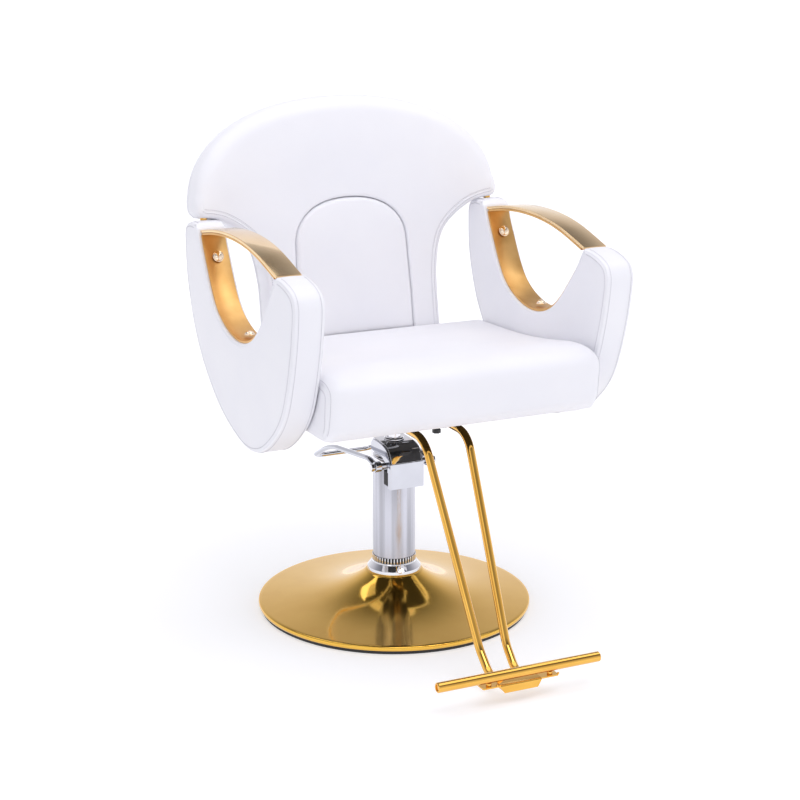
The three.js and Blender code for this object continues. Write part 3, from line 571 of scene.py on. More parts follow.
def line_on(place, u, v, height, step=0.5):
    """Points and outward normals of a surface along a line of (u, v), from its height there."""
    here = place(u, v, height(u, v))
    du = place(u + step, v, height(u + step, v)) - here
    dv = place(u, v + step, height(u, v + step)) - here
    return here, unit(np.cross(du, dv))


# ---------------- base and column

def dome_height(radius):
    t = (BASE_R - radius) / (BASE_R - DOME_TOP_R)
    return DOME_RIM_Z + (DOME_TOP_Z - DOME_RIM_Z) * (0.36 * t + 0.64 * t**4)


def add_base():
    radii = np.linspace(BASE_R - 5, DOME_TOP_R, 60)
    top = [(r, dome_height(r)) for r in radii]
    under = [(r - 1.7, dome_height(r) - 3.5) for r in radii[::-6]]
    rim = rounded([(BASE_R - 9, 7.4), (BASE_R - 2.5, 7.4), (BASE_R, 11), (BASE_R - 1, 16.5), top[0]],
                  [0, 2, 3.5, 3.0, 0], 6, closed=False)
    profile = [*map(tuple, rim), *top[1:], (41.5, DOME_TOP_Z), (41.5, DOME_TOP_Z - 3.5), *under]
    build("base_dome_skin", *lathe(profile, 160), "base", BASE_GOLD, "polished_gold", ["base_dome"], angle=50)
    ring = rounded([(256, 0), (270, 0), (270, 7), (256, 7)], [1.5, 2.5, 1, 1], 4)
    build("base_rubber_ring", *lathe(ring, 128), "base", RUBBER, "black_rubber", ["base_edge_ring"])


KNURLS = 44


def add_column():
    z = DOME_TOP_Z + GAP
    collar = rounded([(SLEEVE_R + 0.4, z), (COLLAR_R - 1, z), (COLLAR_R, z + 3), (COLLAR_R - 0.6, z + 8.5),
                      (SLEEVE_R + 2.6, z + 19), (SLEEVE_R + 1.6, z + 22), (SLEEVE_R + 0.4, z + 22)],
                     [0, 1.5, 1.5, 2, 1, 0.6, 0.4], 5)
    build("column_collar_skin", *lathe(collar, 128), "base", CHROME, "chrome", ["column_collar"], angle=50)
    low, high = z + 22.3, z + 33.5
    # painted shade: a black ring under the chrome bars makes the grooves between them dark, standing for the
    # shade in the grooves of the chrome collar
    band = [(SLEEVE_R + 0.2, low), (SLEEVE_R + 0.6, low), (SLEEVE_R + 0.6, high), (SLEEVE_R + 0.2, high)]
    build("column_knurl_groove_shade", *lathe(band, 128), "base", BLACK_STEEL, "chrome", angle=30)
    bars = []
    for turn in np.arange(KNURLS) * 2 * math.pi / KNURLS:
        out, across = np.array([math.cos(turn), math.sin(turn)]), np.array([-math.sin(turn), math.cos(turn)])
        near, far = out * (SLEEVE_R + 0.5), out * (SLEEVE_R + 1.5)
        bars.append(prism([near - across * 1.5, far - across * 1.1, far + across * 1.1, near + across * 1.5],
                          low, high, "z"))
    build("column_knurl_bars", *merged(bars), "base", CHROME, "chrome", angle=30)
    sleeve = rounded([(SLEEVE_R - 2, z), (SLEEVE_R, z), (SLEEVE_R, SLEEVE_TOP), (SLEEVE_R - 2, SLEEVE_TOP)],
                     [0, 0, 0.8, 0.6], 3)
    build("column_sleeve_skin", *lathe(sleeve, 128), "base", SATIN, "satin_chrome", ["column_sleeve"])


def add_head():
    """Chrome casting: a rounded block over the column between two cheek plates."""
    front = spline([(-60.5, 313.6), (-56.8, 321), (-51.8, 330), (-45.5, 337.6), (-36, 343), (-22, 346.3),
                    (-8, 347.4)], 28)
    slot_front, slot_back, slot_top, slot_x, block_x = -55.2, -18.5, 320.3, 9.5, 32.6
    crown = [*map(tuple, front), (28, 347.5), (39, 336), (39, 300), (slot_back, 300)]
    solid = np.array([*crown, (-46.6, 300), (-46.6, 313.4), (slot_front, 313.4)])
    hollow = np.array([*crown, (slot_back, slot_top), (slot_front, slot_top), (slot_front, 313.4)])
    sections = [(-block_x, solid), (-slot_x, solid), (-slot_x, hollow),
                (slot_x, hollow), (slot_x, solid), (block_x, solid)]
    count, last = len(solid), len(crown) - 1
    block = np.concatenate([np.column_stack([np.full(count, x), outline]) for x, outline in sections])
    walls = []
    for i in (0, 2, 4):
        walls += _wall(np.arange(i * count, (i + 1) * count), np.arange((i + 1) * count, (i + 2) * count))
    for outer, inner in ((1, 2), (4, 3)):
        near, far = outer * count + last, inner * count + last
        walls.append((*range(near, near + 4), far + 2, far + 1))
    walls.append(tuple(range(count)))
    walls.append(tuple(range(len(block) - count, len(block))))
    build("pump_head_block", block, walls, "base", CHROME, "chrome", ["pump_head"], angle=35, bevel=1.6,
          weld=True)
    cheek_front = spline([(-58.5, 313.8), (-54.6, 320.5), (-49.8, 328.6), (-43.6, 335.6), (-34.5, 340.6),
                          (-21, 343.8), (-8, 345)], 28)
    cheek = [*map(tuple, cheek_front), (22, 345.5), (31, 336), (31, 322), (-2, 318), (-22, 318), (-30, 313.6)]
    plates = merged([prism(cheek, x, x + 3.4, "x") for x in (-36, 32.6)])
    build("pump_head_cheeks", *plates, "base", DIMMED_CHROME, "chrome", angle=35, bevel=1.3)
    foot = rounded([(0, 294.4), (SLEEVE_R + 0.6, 294.4), (SLEEVE_R + 0.6, 316), (34, 320), (0, 320)],
                   [0, 1, 3, 3, 0], 4)
    build("pump_head_foot", *lathe(foot, 96), "base", CHROME, "chrome", angle=40, weld=True)
    seal = rounded([(ROD_R + 0.3, 347.8), (20, 347.8), (20, 350), (17.5, 352), (ROD_R + 0.3, 352)],
                   [0, 0.5, 1.2, 1, 0], 4)
    build("rod_gland_ring", *lathe(seal, 96), "base", CHROME, "chrome", ["rod_seal_ring"], angle=45)
    build("lift_rod", *lathe([(0, 44), (ROD_R, 44), (ROD_R, 438), (0, 439)], 64), "lift", CHROME, "chrome",
          ["piston_rod"], angle=45, weld=True)

    # the folded sheet cover in front of the lever
    half, face, sheet = 36.4, -61.4, 1.8
    inside_x, inside_y = half - sheet, face + sheet
    folds = []
    for end, low, high in ((-50, 262, 294), (-47.2, 294, 313)):
        outer = rounded([(-half, end), (-half, face), (half, face), (half, end)],
                        [0, 1.2, 1.2, 0], 5, closed=False)
        inner = rounded([(inside_x, end), (inside_x, inside_y), (-inside_x, inside_y), (-inside_x, end)],
                        [0, 0.8, 0.8, 0], 5, closed=False)
        folds.append(prism(np.vstack([outer, inner]), low, high, "z"))
    build("lever_cover", *merged(folds), "base", DIMMED_CHROME, "chrome", ["head_front_cover"], angle=35)
    # painted shade: a black rubber block fills the slot behind the cover's side folds and stands for the
    # shade in that slot
    slot_shade_outline = rounded([(-34.8, -26), (-34.8, -52), (34.8, -52), (34.8, -26)], 2, 4)
    build("lever_slot_shade_block", *prism(slot_shade_outline, 265, 294.2, "z"), "base", RUBBER, "black_rubber", angle=35, bevel=0.8)


def add_pedal():
    corners = [
        (-55, PIVOT_Y - 2, PIVOT_Z - 2), (-57, -4, 315), (-65, 168, 296), (-70, 252, 250),
        (70, 252, 250), (65, 168, 296), (57, -4, 315), (55, PIVOT_Y - 2, PIVOT_Z - 2),
    ]
    path = even(rounded(corners, [0, 55, 190, 26, 26, 190, 55, 0], 16, closed=False), 4)
    build("pedal_loop_bar", *sweep(path, ellipse(6.2, 5.0, 28)), "pedal", DIMMED_CHROME, "chrome",
          ["pedal_loop"], angle=50)
    eye = [(6.4, 0), (9.6, 0), (10.6, 1), (10.6, 12), (9.6, 13), (6.4, 13)]
    eyes = [along_axis(eye, (x, PIVOT_Y, PIVOT_Z), (1, 0, 0)) for x in (-61.5, 48.5)]
    build("pedal_eyes", *merged(eyes), "pedal", DIMMED_CHROME, "chrome")
    shaft = along_axis(cylinder(6, 124), (-62, PIVOT_Y, PIVOT_Z), (1, 0, 0))
    build("pedal_pin", *shaft, "pedal", DIMMED_CHROME, "chrome", ["pedal_shaft"], weld=True)
    for side, label in ((-1, "left"), (1, "right")):
        hexagon = np.array([(8.4 * math.cos(a), 8.4 * math.sin(a)) for a in np.arange(6) * math.pi / 3])
        hexagon += (PIVOT_Y, PIVOT_Z)
        low, high = sorted((side * 62.3, side * 69.3))
        nut = prism(hexagon, low, high, "x")
        build(f"pedal_end_nut_{label}", *nut, "pedal", CHROME, "chrome", [f"pedal_nut_{label}"], bevel=1.2)


# ---------------- footrest

def add_footrest():
    rod_z, low_z = 413.0, 27.7
    for side, label in ((-1, "left"), (1, "right")):
        corners = [
            (side * 45, -104, rod_z), (side * 45, -229, rod_z), (side * 27.5, -425, 63.5),
            (side * 26.5, -462, low_z), (side * 26.5, BAR_Y - 2, low_z),
        ]
        path = even(rounded(corners, [0, 58, 75, 46, 0], 14, closed=False), 4)
        build(f"footrest_tube_{label}", *sweep(path, ellipse(8, 8, 40)), "seat", GOLD, "polished_gold",
              [f"footrest_rod_{label}"], angle=50)
    cap = [(0, 2.2), (BAR_R - 3.4, 2.2), (BAR_R - 3.2, 0.6), (BAR_R - 2.6, 0), (BAR_R - 1, 0), (BAR_R, 1.2)]
    profile = cap + [(r, 2 * BAR_X - z) for r, z in cap[::-1]]
    bar = along_axis(profile, (-BAR_X, BAR_Y, BAR_Z), (1, 0, 0), 64)
    build("footrest_crossbar", *bar, "seat", GOLD, "polished_gold", ["footrest_bar"], angle=35, weld=True)

    front = BAR_Y - 9
    fold = rounded([(front + 34, 36), (front, 36), (front, 20), (front + 2.4, 20), (front + 2.4, 33.6),
                    (front + 34, 33.6)], [0, 3.2, 0.6, 0.6, 1, 0], 5)
    fold = np.asarray(fold) + (0, 2.5)
    lip = prism(fold, -41, 41, "x")
    verts = lip[0]
    narrow = np.clip((38.5 - 4 - verts[:, 2]) / 12.0, 0, 1)
    verts[:, 0] *= 1 - narrow * (7.5 / 41)
    plates = [(verts, lip[1])]
    for low, high, radii in ((-77, -40.8, [3, 0, 0, 3]), (40.8, 77, [0, 3, 3, 0])):
        wing = [(low, front + 1), (high, front + 1), (high, front + 34), (low, front + 34)]
        plates.append(prism(rounded(wing, radii, 4), 36, 38.5, "z"))
    for x in (-62, 62):
        stand = cylinder(5, BAR_Z - BAR_R - 0.3 - 38.4, 0.5)
        plates.append(along_axis(stand, (x, BAR_Y, 38.4), (0, 0, 1), 32))
        plates.append(along_axis(cylinder(2.2, 3.2, 0.4), (x + 14, BAR_Y - 6.5, 38.4), (0, 0, 1), 24))
    build("kick_plate_sheet", *merged(plates), "seat", GOLD, "polished_gold", ["kick_plate"], angle=35,
          weld=True)


# ---------------- seat cushion

def seat_profile():
    """The cushion's side outline, counter-clockwise seen from +X, as (y, z)."""
    top = spline([(162, 529), (59, 533), (-45, 540), (-150, 556), (-235, 571), (-285, 574), (-316, 566),
                  (-331, 548), (-330, 520), (-322, 478), (-309, 460)], 90)
    points = [(153, 456), (160, 480), (164, 522), *map(tuple, top), (-303, 454.5), (-290, SEAT_BOTTOM),
              (140, SEAT_BOTTOM)]
    return even(points, 4.0, closed=True)


def add_seat():
    profile = seat_profile()
    normal = inward(profile)
    y, z = profile[:, 0], profile[:, 1]
    soft, behind = smooth((z - 470) / 50), smooth((-30 - y) / 170)
    radius = 8.5 + 19 * soft * behind + 14 * np.clip((-285 - y) / 30, 0, 1) * (1 - soft)
    for _ in range(8):
        radius = (np.roll(radius, 1) + 2 * radius + np.roll(radius, -1)) / 4
    angles = [0, 12, 24, 36, 47, 54, 58, 61, 64, 67, 70, 74, 79, 84, 90]
    seam = 64
    stations = [(float(x), None) for x in np.arange(-238, 238.1, 14)]
    rings = [(-1, a) for a in angles[::-1]] + stations + [(1, a) for a in angles]
    verts = []
    for side, angle in rings:
        if angle is None:
            x, drop = np.full(len(y), side), np.zeros(len(y))
        else:
            t = math.radians(angle)
            cut = groove(angle, seam, 1.3, 2.4)
            drop = radius * (1 - math.cos(t)) + cut * math.cos(t) * 0.9
            x = side * (SEAT_X - radius * (1 - math.sin(t)) - cut * math.sin(t))
        across = np.abs(x) / SEAT_X
        crown = 5.0 * (1 - across**2.4) * np.clip((z - 500) / 40, 0, 1) * np.clip((140 - y) / 90, 0.2, 1)
        crown = crown * np.clip((y + 330) / 90, 0, 1)
        verts.append(np.stack([x, y + normal[:, 0] * drop, z + normal[:, 1] * drop + crown], axis=1))
    count = len(profile)
    faces = []
    for i in range(len(rings) - 1):
        faces += _wall(np.arange(i * count, (i + 1) * count), np.arange((i + 1) * count, (i + 2) * count))
    for ring, side in ((0, -1), (len(rings) - 1, 1)):
        edge = verts[ring]
        coords, triangles = fill(edge[:, 1:], [], 16)[:2]
        start = sum(len(v) for v in verts)
        verts.append(np.stack([np.full(len(coords), side * SEAT_X), coords[:, 0], coords[:, 1]], axis=1))
        faces += [tuple(start + i for i in f) for f in triangles]
    piece = build("seat_cushion_cover", np.concatenate(verts), faces, "seat", LEATHER, "white_leather",
                  ["seat_cushion"], angle=70, weld=True)

    cloth = rounded([(-262, -286), (262, -286), (262, 137), (-262, 137)], 16, 5)
    hem = rounded([(-256, -280), (256, -280), (256, 131), (-256, 131)], 12, 5)
    layers = [prism(cloth, SEAT_BOTTOM - 0.9, SEAT_BOTTOM - 0.2, "z"),
              prism(hem, SEAT_BOTTOM - 1.3, SEAT_BOTTOM - 0.9, "z")]
    build("seat_undercloth", *merged(layers), "seat", UNDERCLOTH, "plywood", ["seat_board"], angle=35)

    threads = []
    keep = (z > 462) & (y < 150)
    order = np.where(keep)[0]
    first = order[np.where(np.diff(order) > 1)[0][0] + 1] if (np.diff(order) > 1).any() else order[0]
    order = np.array([i for i in (np.arange(count) + first) % count if keep[i]])
    for side in (-1, 1):
        for angle in (seam - 13, seam + 14):
            t = math.radians(angle)
            drop = radius * (1 - math.cos(t)) - 0.15
            x = side * (SEAT_X - radius * (1 - math.sin(t)) + 0.15)
            path = np.stack([x, y + normal[:, 0] * drop, z + normal[:, 1] * drop], axis=1)[order]
            out = np.stack([np.full(count, side * math.sin(t)), -normal[:, 0] * math.cos(t),
                            -normal[:, 1] * math.cos(t)], axis=1)[order]
            threads.append(stitches(path, out))
    build("seat_stitching", *merged(threads), "seat", THREAD, "white_leather", angle=60)


# ---------------- back

def back_place(u, v, w):
    """A point of the leaning back: across, up along it and through it, in the row frame."""
    c, s = math.cos(BACK_LEAN), math.sin(BACK_LEAN)
    depth = w - BACK_DISH * (u / BACK_X) ** 2
    return np.stack([u, BACK_ORIGIN[1] + depth * c + v * s, BACK_ORIGIN[2] - depth * s + v * c], axis=1)


def back_outline(shrink=0.0, spacing=6.0):
    wing = spline([(STEM_X, 100), (198, 161), (220, 200), (264, 233), (300, 245), (316, 247)], 24)
    right = [(STEM_X, BACK_BOTTOM), (STEM_X, 20), (STEM_X - 0.5, 60), *map(tuple, wing)]
    height = BACK_TOP - BACK_WIDEST
    for i in range(1, 29):
        x = BACK_X * math.cos(math.pi / 2 * i / 30)
        right.append((x, BACK_WIDEST + height * (1 - (x / BACK_X) ** 2.2) ** (1 / 2.2)))
    tip = rounded([(300, 245), (319, 247), (330, 258), (331, 280)], [0, 6, 9, 0], 6, closed=False)
    right = [p for p in right if not (p[0] > 300 and p[1] < 285)]
    at = next(i for i, p in enumerate(right) if p[1] > 285)
    right[at:at] = [tuple(p) for p in tip]
    left = [(-x, v) for x, v in right[::-1]]
    points = even([*right, (0, BACK_TOP), *left], spacing, closed=True)
    if shrink:
        points = points + inward(points) * shrink
    return points


def pad_outline(shrink, spacing=5.0):
    t = np.linspace(0, math.pi, 40)
    cos, sin = np.cos(t), np.sin(t)
    arch = np.stack([(PAD_X - 4 - shrink) * np.sign(cos) * np.abs(cos) ** 0.88,
                     PAD_SHOULDER + (PAD_RISE - shrink) * sin**0.88], axis=1)
    low = PAD_BOTTOM + shrink
    side = PAD_X - shrink
    foot = rounded([(-side, 60), (-side, low), (side, low), (side, 60)], [0, 4, 4, 0], 4, closed=False)
    return even(np.vstack([arch, foot]), spacing, closed=True)


def wing_share(v):
    """1 near the wing undersides and the stem, 0 round the top of the back."""
    return smooth((300 - v) / 55)


SEAM_IN = 13.0
REAR_SEAM_IN = 24.0
STITCH_OFF = 3.4


def shell_front(u, v, distance):
    share = wing_share(v)
    face = edge_drop(distance, 32 - 19 * share)
    face = face - 3.0 * np.clip((distance - 12) / 70, 0, 1)
    coords = np.stack([u, v], axis=1)
    to_pad = distance_to(PAD_EDGE, coords)
    signed = np.where(inside(PAD_EDGE, coords), to_pad, -to_pad)
    face = face + np.where(signed > 0, PAD_RECESS + 3, 0) + np.where(signed <= 0, edge_drop(-signed, 6.0), 0)
    return face + groove(distance, SEAM_IN, 1.3, 1.0) * share


PAD_EDGE = pad_outline(0.0)


def add_back():
    outline = back_outline()
    rings = sorted(set([1, 2.5, 4.5, 7, 10.0, *groove_rings(SEAM_IN), 17, 21, 26, 32, 40]))
    extra = []
    for d in (0.4, -0.6, -1.6, -3.2, -5.4, -8.0):
        ring = PAD_EDGE + inward(PAD_EDGE) * d
        extra.append(ring[ring[:, 1] > -60])
    shell = slab(outline, rings, 9, shell_front, lambda u, v, d: SHELL_THICK - 1.2 * np.exp(-d / 1.5),
                 back_place, rows=4, swell=1.5, extra=extra)
    piece = build("back_shell_cover", *shell, "seat", LEATHER, "white_leather", ["back_shell"], angle=75)

    pad = pad_outline(1.4)
    bulge = lambda u, v, d: edge_drop(d, 9.0) - 4.0 - 5.0 * (1 - np.exp(-d / 38))
    inner = slab(pad, edge_rings(9.0) + [13, 18], 8, bulge, lambda u, v, d: np.full(len(u), 11.5),
                 back_place, rows=3, swell=0.4)
    piece = build("back_inner_pad_cover", *inner, "seat", LEATHER, "white_leather", ["back_inner_pad"],
                  angle=75)

    def rear_face(u, v, d):
        seam = groove(d, REAR_SEAM_IN, 0.9, 0.9)
        return BACK_THICK - edge_drop(d, 11.0) - seam + 2.0 * np.clip((d - 20) / 90, 0, 1)

    rear = slab(outline, sorted(edge_rings(11.0) + groove_rings(REAR_SEAM_IN)), 12,
                lambda u, v, d: SHELL_THICK + 0.4 + 1.2 * np.exp(-d / 1.5), rear_face, back_place,
                rows=3, swell=1.2)
    piece = build("back_rear_panel", *rear, "seat", LEATHER, "white_leather",
                  ["back_rear_cover", "back_board"], angle=75)

    threads = []
    normal = inward(outline)
    for d in (SEAM_IN - STITCH_OFF, SEAM_IN + STITCH_OFF):
        line = outline + normal * d
        low = (wing_share(outline[:, 1]) > 0.75) & (outline[:, 1] > -40)
        low &= distance_to(outline, line) > d * 0.97
        for side in (-1, 1):
            chosen = line[low & (outline[:, 0] * side > 0)]
            if side < 0:
                chosen = chosen[np.argsort(chosen[:, 1])]
            height = lambda u, v: shell_front(u, v, distance_to(outline, np.stack([u, v], axis=1))) - 0.2
            here, out = line_on(back_place, chosen[:, 0], chosen[:, 1], height)
            threads.append(stitches(here, out))
    for d in (REAR_SEAM_IN - STITCH_OFF, REAR_SEAM_IN + STITCH_OFF):
        line = outline + normal * d
        ok = (distance_to(outline, line) > d * 0.97) & (outline[:, 1] > -50)
        line = line[ok]
        height = lambda u, v: np.full(len(u), BACK_THICK + 0.25)
        here, out = line_on(back_place, line[:, 0], line[:, 1], height)
        threads.append(stitches(here, -out))
    build("back_stitching", *merged(threads), "seat", THREAD, "white_leather", angle=60)


# ---------------- arms

ARM_SWEEP = [
    (237, 752), (237, 730), (234, 675), (219, 618), (190, 555), (141, 495), (64, 436), (-25, 401), (-95, 392),
    (-160, 409), (-223, 451), (-267, 499), (-295, 560), (-316, 632), (-326, 692), (-324, 714), (-313, 730),
    (-290, 740),
]
NOTCH = [REAR_END, (140, 716), (76, 624), (-22, 588), (-117, 610), (-196, 689), FRONT_END]
ARMREST_TOP = [FRONT_END, (-139, 773), (-60, 784), (20, 785), (95, 778), (165, 765)]
ARM_EDGE = 6.5
NOTCH_EDGE = 4.0
ARM_SEAM = 4.0


def arm_outline(spacing=6.0):
    """The arm's side outline with its hand opening, counter-clockwise seen from +X, as (y, z)."""
    sweep_line = spline(ARM_SWEEP, 90)
    notch = spline(NOTCH, 60)[::-1]
    points = [(203, 776), (230, 768), *map(tuple, sweep_line), (-262, 746), *map(tuple, notch), (168, 770),
              (176, 776)]
    return densify(np.array(points)[::-1], spacing)


def add_arms():
    outline = arm_outline()
    normal = inward(outline)
    notch = spline(NOTCH, 60)
    from_notch = np.array([np.min(np.linalg.norm(notch - p, axis=1)) for p in outline])

    def face(u, v, d):
        """Depth of the side face under the arm's full half width."""
        at = np.stack([u, v], axis=1)
        near = distance_to(outline[from_notch > 4], at)
        share = np.clip((distance_to(notch, at) - 2) / 10, 0, 1)
        radius = NOTCH_EDGE + (ARM_EDGE - NOTCH_EDGE) * share
        drop = edge_drop(d, radius) - 2.2 * (1 - np.exp(-d / 34))
        return drop + groove(near, ARM_SEAM, 1.1, 0.8) * (near < 12)

    half = (ARM_OUT - ARM_IN) / 2 - 0.4
    seam_rings = [ARM_SEAM - 0.7, ARM_SEAM, ARM_SEAM + 0.8, ARM_SEAM + 1.6]
    rings = sorted(edge_rings(ARM_EDGE) + seam_rings + [13, 19])
    for side, label in ((-1, "left"), (1, "right")):
        place = lambda u, v, w, side=side: np.stack([side * ARM_MID + w, u, v], axis=1)
        body = slab(outline, rings, 10, lambda u, v, d: half - face(u, v, d),
                    lambda u, v, d: face(u, v, d) - half, place, rows=4, swell=0.8)
        piece = build(f"arm_cover_{label}", *body, "seat", LEATHER, "white_leather", [f"arm_{label}"],
                      angle=75)

        threads = []
        run = from_notch > 9
        start = int(np.where(~run)[0][-1]) + 1
        order = [(start + i) % len(outline) for i in range(len(outline)) if run[(start + i) % len(outline)]]
        line = outline[order] + normal[order] * (ARM_SEAM + 4.2)
        ok = distance_to(outline, line) > (ARM_SEAM + 4.2) * 0.97
        line = line[ok]
        for face_side in (-1, 1):
            height = lambda u, v, s=face_side: s * (
                half - face(u, v, distance_to(outline, np.stack([u, v], axis=1))) + 0.15
            )
            here, out = line_on(place, line[:, 0], line[:, 1], height)
            threads.append(stitches(here, out * face_side))
            rim = outline[order] - normal[order] * 0.35
            level = np.full(len(rim), face_side * (half - ARM_EDGE - 1.5))
            here = place(rim[:, 0], rim[:, 1], level)
            out = np.stack([np.zeros(len(rim)), -normal[order][:, 0], -normal[order][:, 1]], axis=1)
            threads.append(stitches(here, out))
        build(f"arm_stitching_{label}", *merged(threads), "seat", THREAD, "white_leather", angle=60)
        add_hand_opening(side, label)


def in_plane(points):
    """Unit normals, in the plane, of an open line of (y, z) points."""
    step = np.gradient(points, axis=0)
    return unit(np.stack([-step[:, 1], step[:, 0]], axis=1))


def strip(points, near, far, middle, half, edge=0.7):
    """A flat strip following a (y, z) line, between two distances off it, across X."""
    points = np.asarray(points, float)
    normal = in_plane(points)
    section = rounded([(-half, near), (half, near), (half, far), (-half, far)], edge, 3)
    verts = []
    for point, n in zip(points, normal):
        yz = point + section[:, 1:] * n
        verts.append(np.stack([middle + section[:, 0], yz[:, 0], yz[:, 1]], axis=1))
    return np.concatenate(verts), tube_faces(len(points), len(section))


def add_hand_opening(side, label):
    middle = side * ARM_MID
    notch = even(spline(NOTCH, 120), 4)
    drop = ARMREST_THICK + 0.6
    top = spline(ARMREST_TOP, 80)
    top_z = lambda y: np.interp(y, top[:, 0], top[:, 1])
    lining = notch[notch[:, 1] < top_z(notch[:, 0]) - drop + 1.5]
    if in_plane(lining)[len(lining) // 2][1] < 0:
        near, far = -BAND_THICK, -GAP
    else:
        near, far = GAP, BAND_THICK
    band = strip(lining, near, far, middle, BAND_HALF)
    build(f"arm_lining_{label}", *band, "seat", BRUSHED, "brushed_gold", [f"arm_band_{label}"], angle=35)

    line = even(top, 5)
    plate_line = line[(line[:, 0] > FRONT_END[0] + 0.6) & (line[:, 0] < REAR_END[0] - 0.6)]
    sign = 1 if in_plane(plate_line)[len(plate_line) // 2][1] > 0 else -1
    plate = strip(plate_line, *sorted((-sign * GAP, -sign * 5.6)), middle, BAND_HALF + 0.4, 0.9)
    under = line[(line[:, 0] > FRONT_END[0] + 10) & (line[:, 0] < REAR_END[0] - 6)]
    lower = strip(under, *sorted((-sign * 6.1, -sign * ARMREST_THICK)), middle, BAND_HALF - 0.2, 0.7)
    build(f"armrest_plate_{label}", *plate, "seat", CHAMPAGNE, "brushed_gold", [f"armrest_{label}"], angle=35)
    build(f"armrest_rail_{label}", *lower, "seat", BRUSHED, "brushed_gold", angle=35)

    dome = [(0, 7.4), (2.6, 7.2), (5.0, 6.5), (7.2, 5.2), (8.8, 3.4), (9.3, 2.1), (9.3, 1.5), (0, 1.5)]
    washer = [(0, -0.6), (10.6, -0.6), (11.1, 0.3), (11.0, 1.0), (10.4, 1.5), (0, 1.5)]
    for i, (at, into) in enumerate((((134, 716), (1, -0.42)), ((-30, 593), (-0.06, -1)))):
        step = np.array(into) / np.linalg.norm(into)
        origin = np.array([middle, *(np.array(at) - step * (BAND_THICK + 0.2))])
        outwards = (0, -step[0], -step[1])
        parts = [along_axis(dome, origin, outwards), along_axis(washer, origin, outwards)]
        build(f"band_stud_{label}_{i + 1}", *merged(parts), "seat", STUD_GOLD, "polished_gold",
              [f"band_bolt_{label}_{i + 1}"], angle=50, weld=True)
    post = along_axis(cylinder(7, 48), (middle, 208, 756), (0, 0, 1))
    build(f"wing_pin_{label}", *post, "seat", GOLD, "polished_gold", [f"wing_post_{label}"], weld=True)


# ---------------- CAD nodes that stay

def finish_frame():
    """Gives every CAD node its material, and a small bevel on the edges of the shown ones that are not zinc
    steel.
    """
    black = ("swivel_hub", "seat_mount_plate", "seat_front_bolt", "back_bracket_left", "back_bracket_right",
             "footrest_clamp")
    finish_of = dict.fromkeys(black, BLACK_STEEL)
    finish_of.update(seat_board=UNDERCLOTH, base_weight_plate=IRON, piston_seal=RUBBER)
    for name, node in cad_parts.items():
        node.data.materials.clear()
        node.data.materials.append(finish_of.get(name, STEEL))
        if not node.hide_render and name in finish_of:
            soften(node, 0.8, 2)


# ---------------- camera, floor and light

def look(obj, direction):
    obj.rotation_mode = "QUATERNION"
    obj.rotation_quaternion = direction.to_track_quat("-Z", "Y")


def add_camera():
    azimuth, elevation = math.radians(-25.39), math.radians(15.48)
    distance, aside, height = 3.78109, 0.012045, 0.426415
    back = Vector((math.sin(azimuth) * math.cos(elevation), -math.cos(azimuth) * math.cos(elevation),
                   math.sin(elevation)))
    aim = Vector((aside * math.cos(azimuth), aside * math.sin(azimuth), height))
    camera = bpy.data.objects.new("camera", bpy.data.cameras.new("camera"))
    camera.data.lens = 86.25
    camera.data.sensor_width = 36
    camera.data.clip_start, camera.data.clip_end = 0.1, 100
    camera.location = aim + back * distance
    look(camera, -back)
    bpy.context.scene.collection.objects.link(camera)
    bpy.context.scene.camera = camera


def add_light(name, place, target, size, power, colour=(1, 1, 1)):
    light = bpy.data.lights.new(name, "AREA")
    light.shape = "RECTANGLE"
    light.size, light.size_y = size
    light.energy = power
    light.color = colour
    obj = bpy.data.objects.new(name, light)
    obj.location = place
    bpy.context.scene.collection.objects.link(obj)
    look(obj, Vector(target) - obj.location)


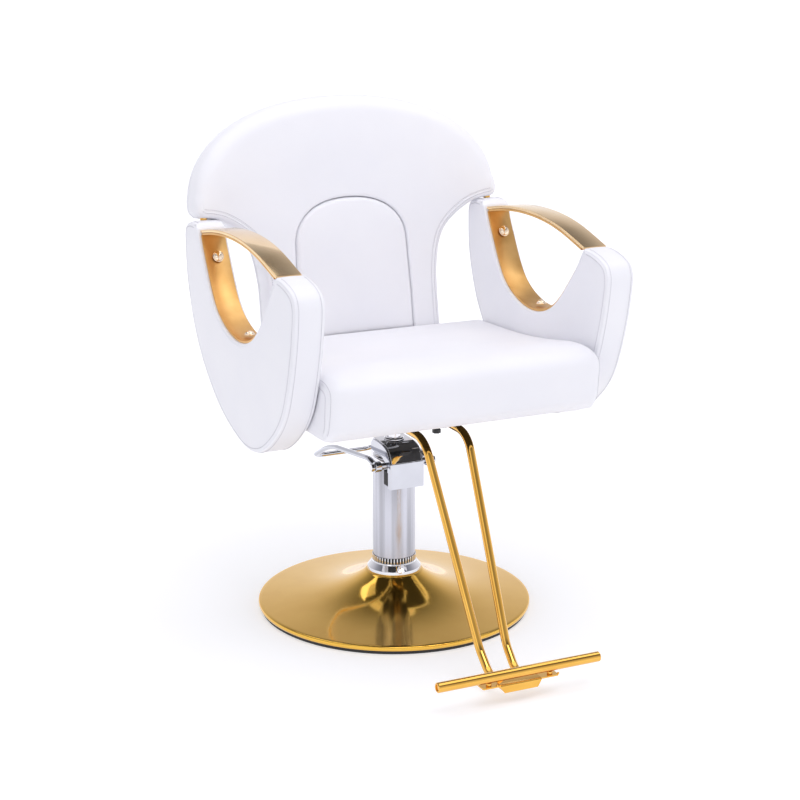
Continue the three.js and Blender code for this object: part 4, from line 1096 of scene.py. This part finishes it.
def add_stage():
    mesh = bpy.data.meshes.new("floor")
    reach = 40
    corners = [(-reach, -reach, 0), (reach, -reach, 0), (reach, reach, 0), (-reach, reach, 0)]
    mesh.from_pydata(corners, [], [(0, 1, 2, 3)])
    floor = bpy.data.objects.new("floor", mesh)
    made, nodes, links, shader, where = material("studio_floor", (0.62, 0.62, 0.64), 0.9)
    tone = noise(nodes, links, where, 1.2, 2)
    greys = [(0.3, (0.60, 0.60, 0.62)), (0.7, (0.63, 0.63, 0.65))]
    drive(nodes, links, tone, greys, shader.inputs["Base Color"])
    shader.inputs["Emission Color"].default_value = (1, 1, 1, 1)
    length = nodes.new("ShaderNodeVectorMath")
    length.operation = "LENGTH"
    links.new(where, length.inputs[0])
    axes = nodes.new("ShaderNodeSeparateXYZ")
    links.new(where, axes.inputs[0])
    strength = remap(nodes, links, length.outputs["Value"], 0.5, 2.6, 0.5, 0.86)
    for axis, start, end in (("X", -1.1, -2.1), ("Y", -1.1, -2.2)):
        fade = remap(nodes, links, axes.outputs[axis], start, end, 1.0, 0.6)
        product = nodes.new("ShaderNodeMath")
        product.operation = "MULTIPLY"
        links.new(strength, product.inputs[0])
        links.new(fade, product.inputs[1])
        strength = product.outputs["Value"]
    links.new(strength, shader.inputs["Emission Strength"])
    mesh.materials.append(made)
    bpy.context.scene.collection.objects.link(floor)

    world = bpy.data.worlds.new("studio")
    bpy.context.scene.world = world
    world.use_nodes = True
    nodes, links = world.node_tree.nodes, world.node_tree.links
    where = nodes.new("ShaderNodeTexCoord").outputs["Generated"]
    parts = nodes.new("ShaderNodeSeparateXYZ")
    links.new(where, parts.inputs["Vector"])
    sky = ramp(nodes, links, remap(nodes, links, parts.outputs["Z"], -1, 1, 0, 1),
               [(0.0, (0.9, 0.9, 0.92)), (0.5, (0.95, 0.95, 0.99)), (0.58, (0.90, 0.90, 0.94)),
                (0.66, (0.76, 0.75, 0.79)), (0.73, (0.60, 0.59, 0.64)), (0.80, (0.34, 0.34, 0.38)),
                (0.88, (0.15, 0.15, 0.18)), (1.0, (0.12, 0.12, 0.15))])
    background = nodes["Background"]
    links.new(sky, background.inputs["Color"])
    background.inputs["Strength"].default_value = 1.0

    target = (0, -0.05, 0.5)
    add_light("key", (0.1, -2.1, 3.7), target, (2.8, 1.6), 29, (0.97, 0.97, 1))
    add_light("fill", (-3.0, -2.6, 2.2), target, (1.6, 2.0), 6, (0.97, 0.97, 1))
    add_light("top", (0.1, 0.1, 4.2), target, (6.0, 5.0), 138, (1, 0.99, 1))
    bpy.context.scene.view_settings.view_transform = "Standard"


add_base()
add_column()
add_head()
add_pedal()
add_footrest()
add_seat()
add_back()
add_arms()
finish_frame()
add_camera()
add_stage()
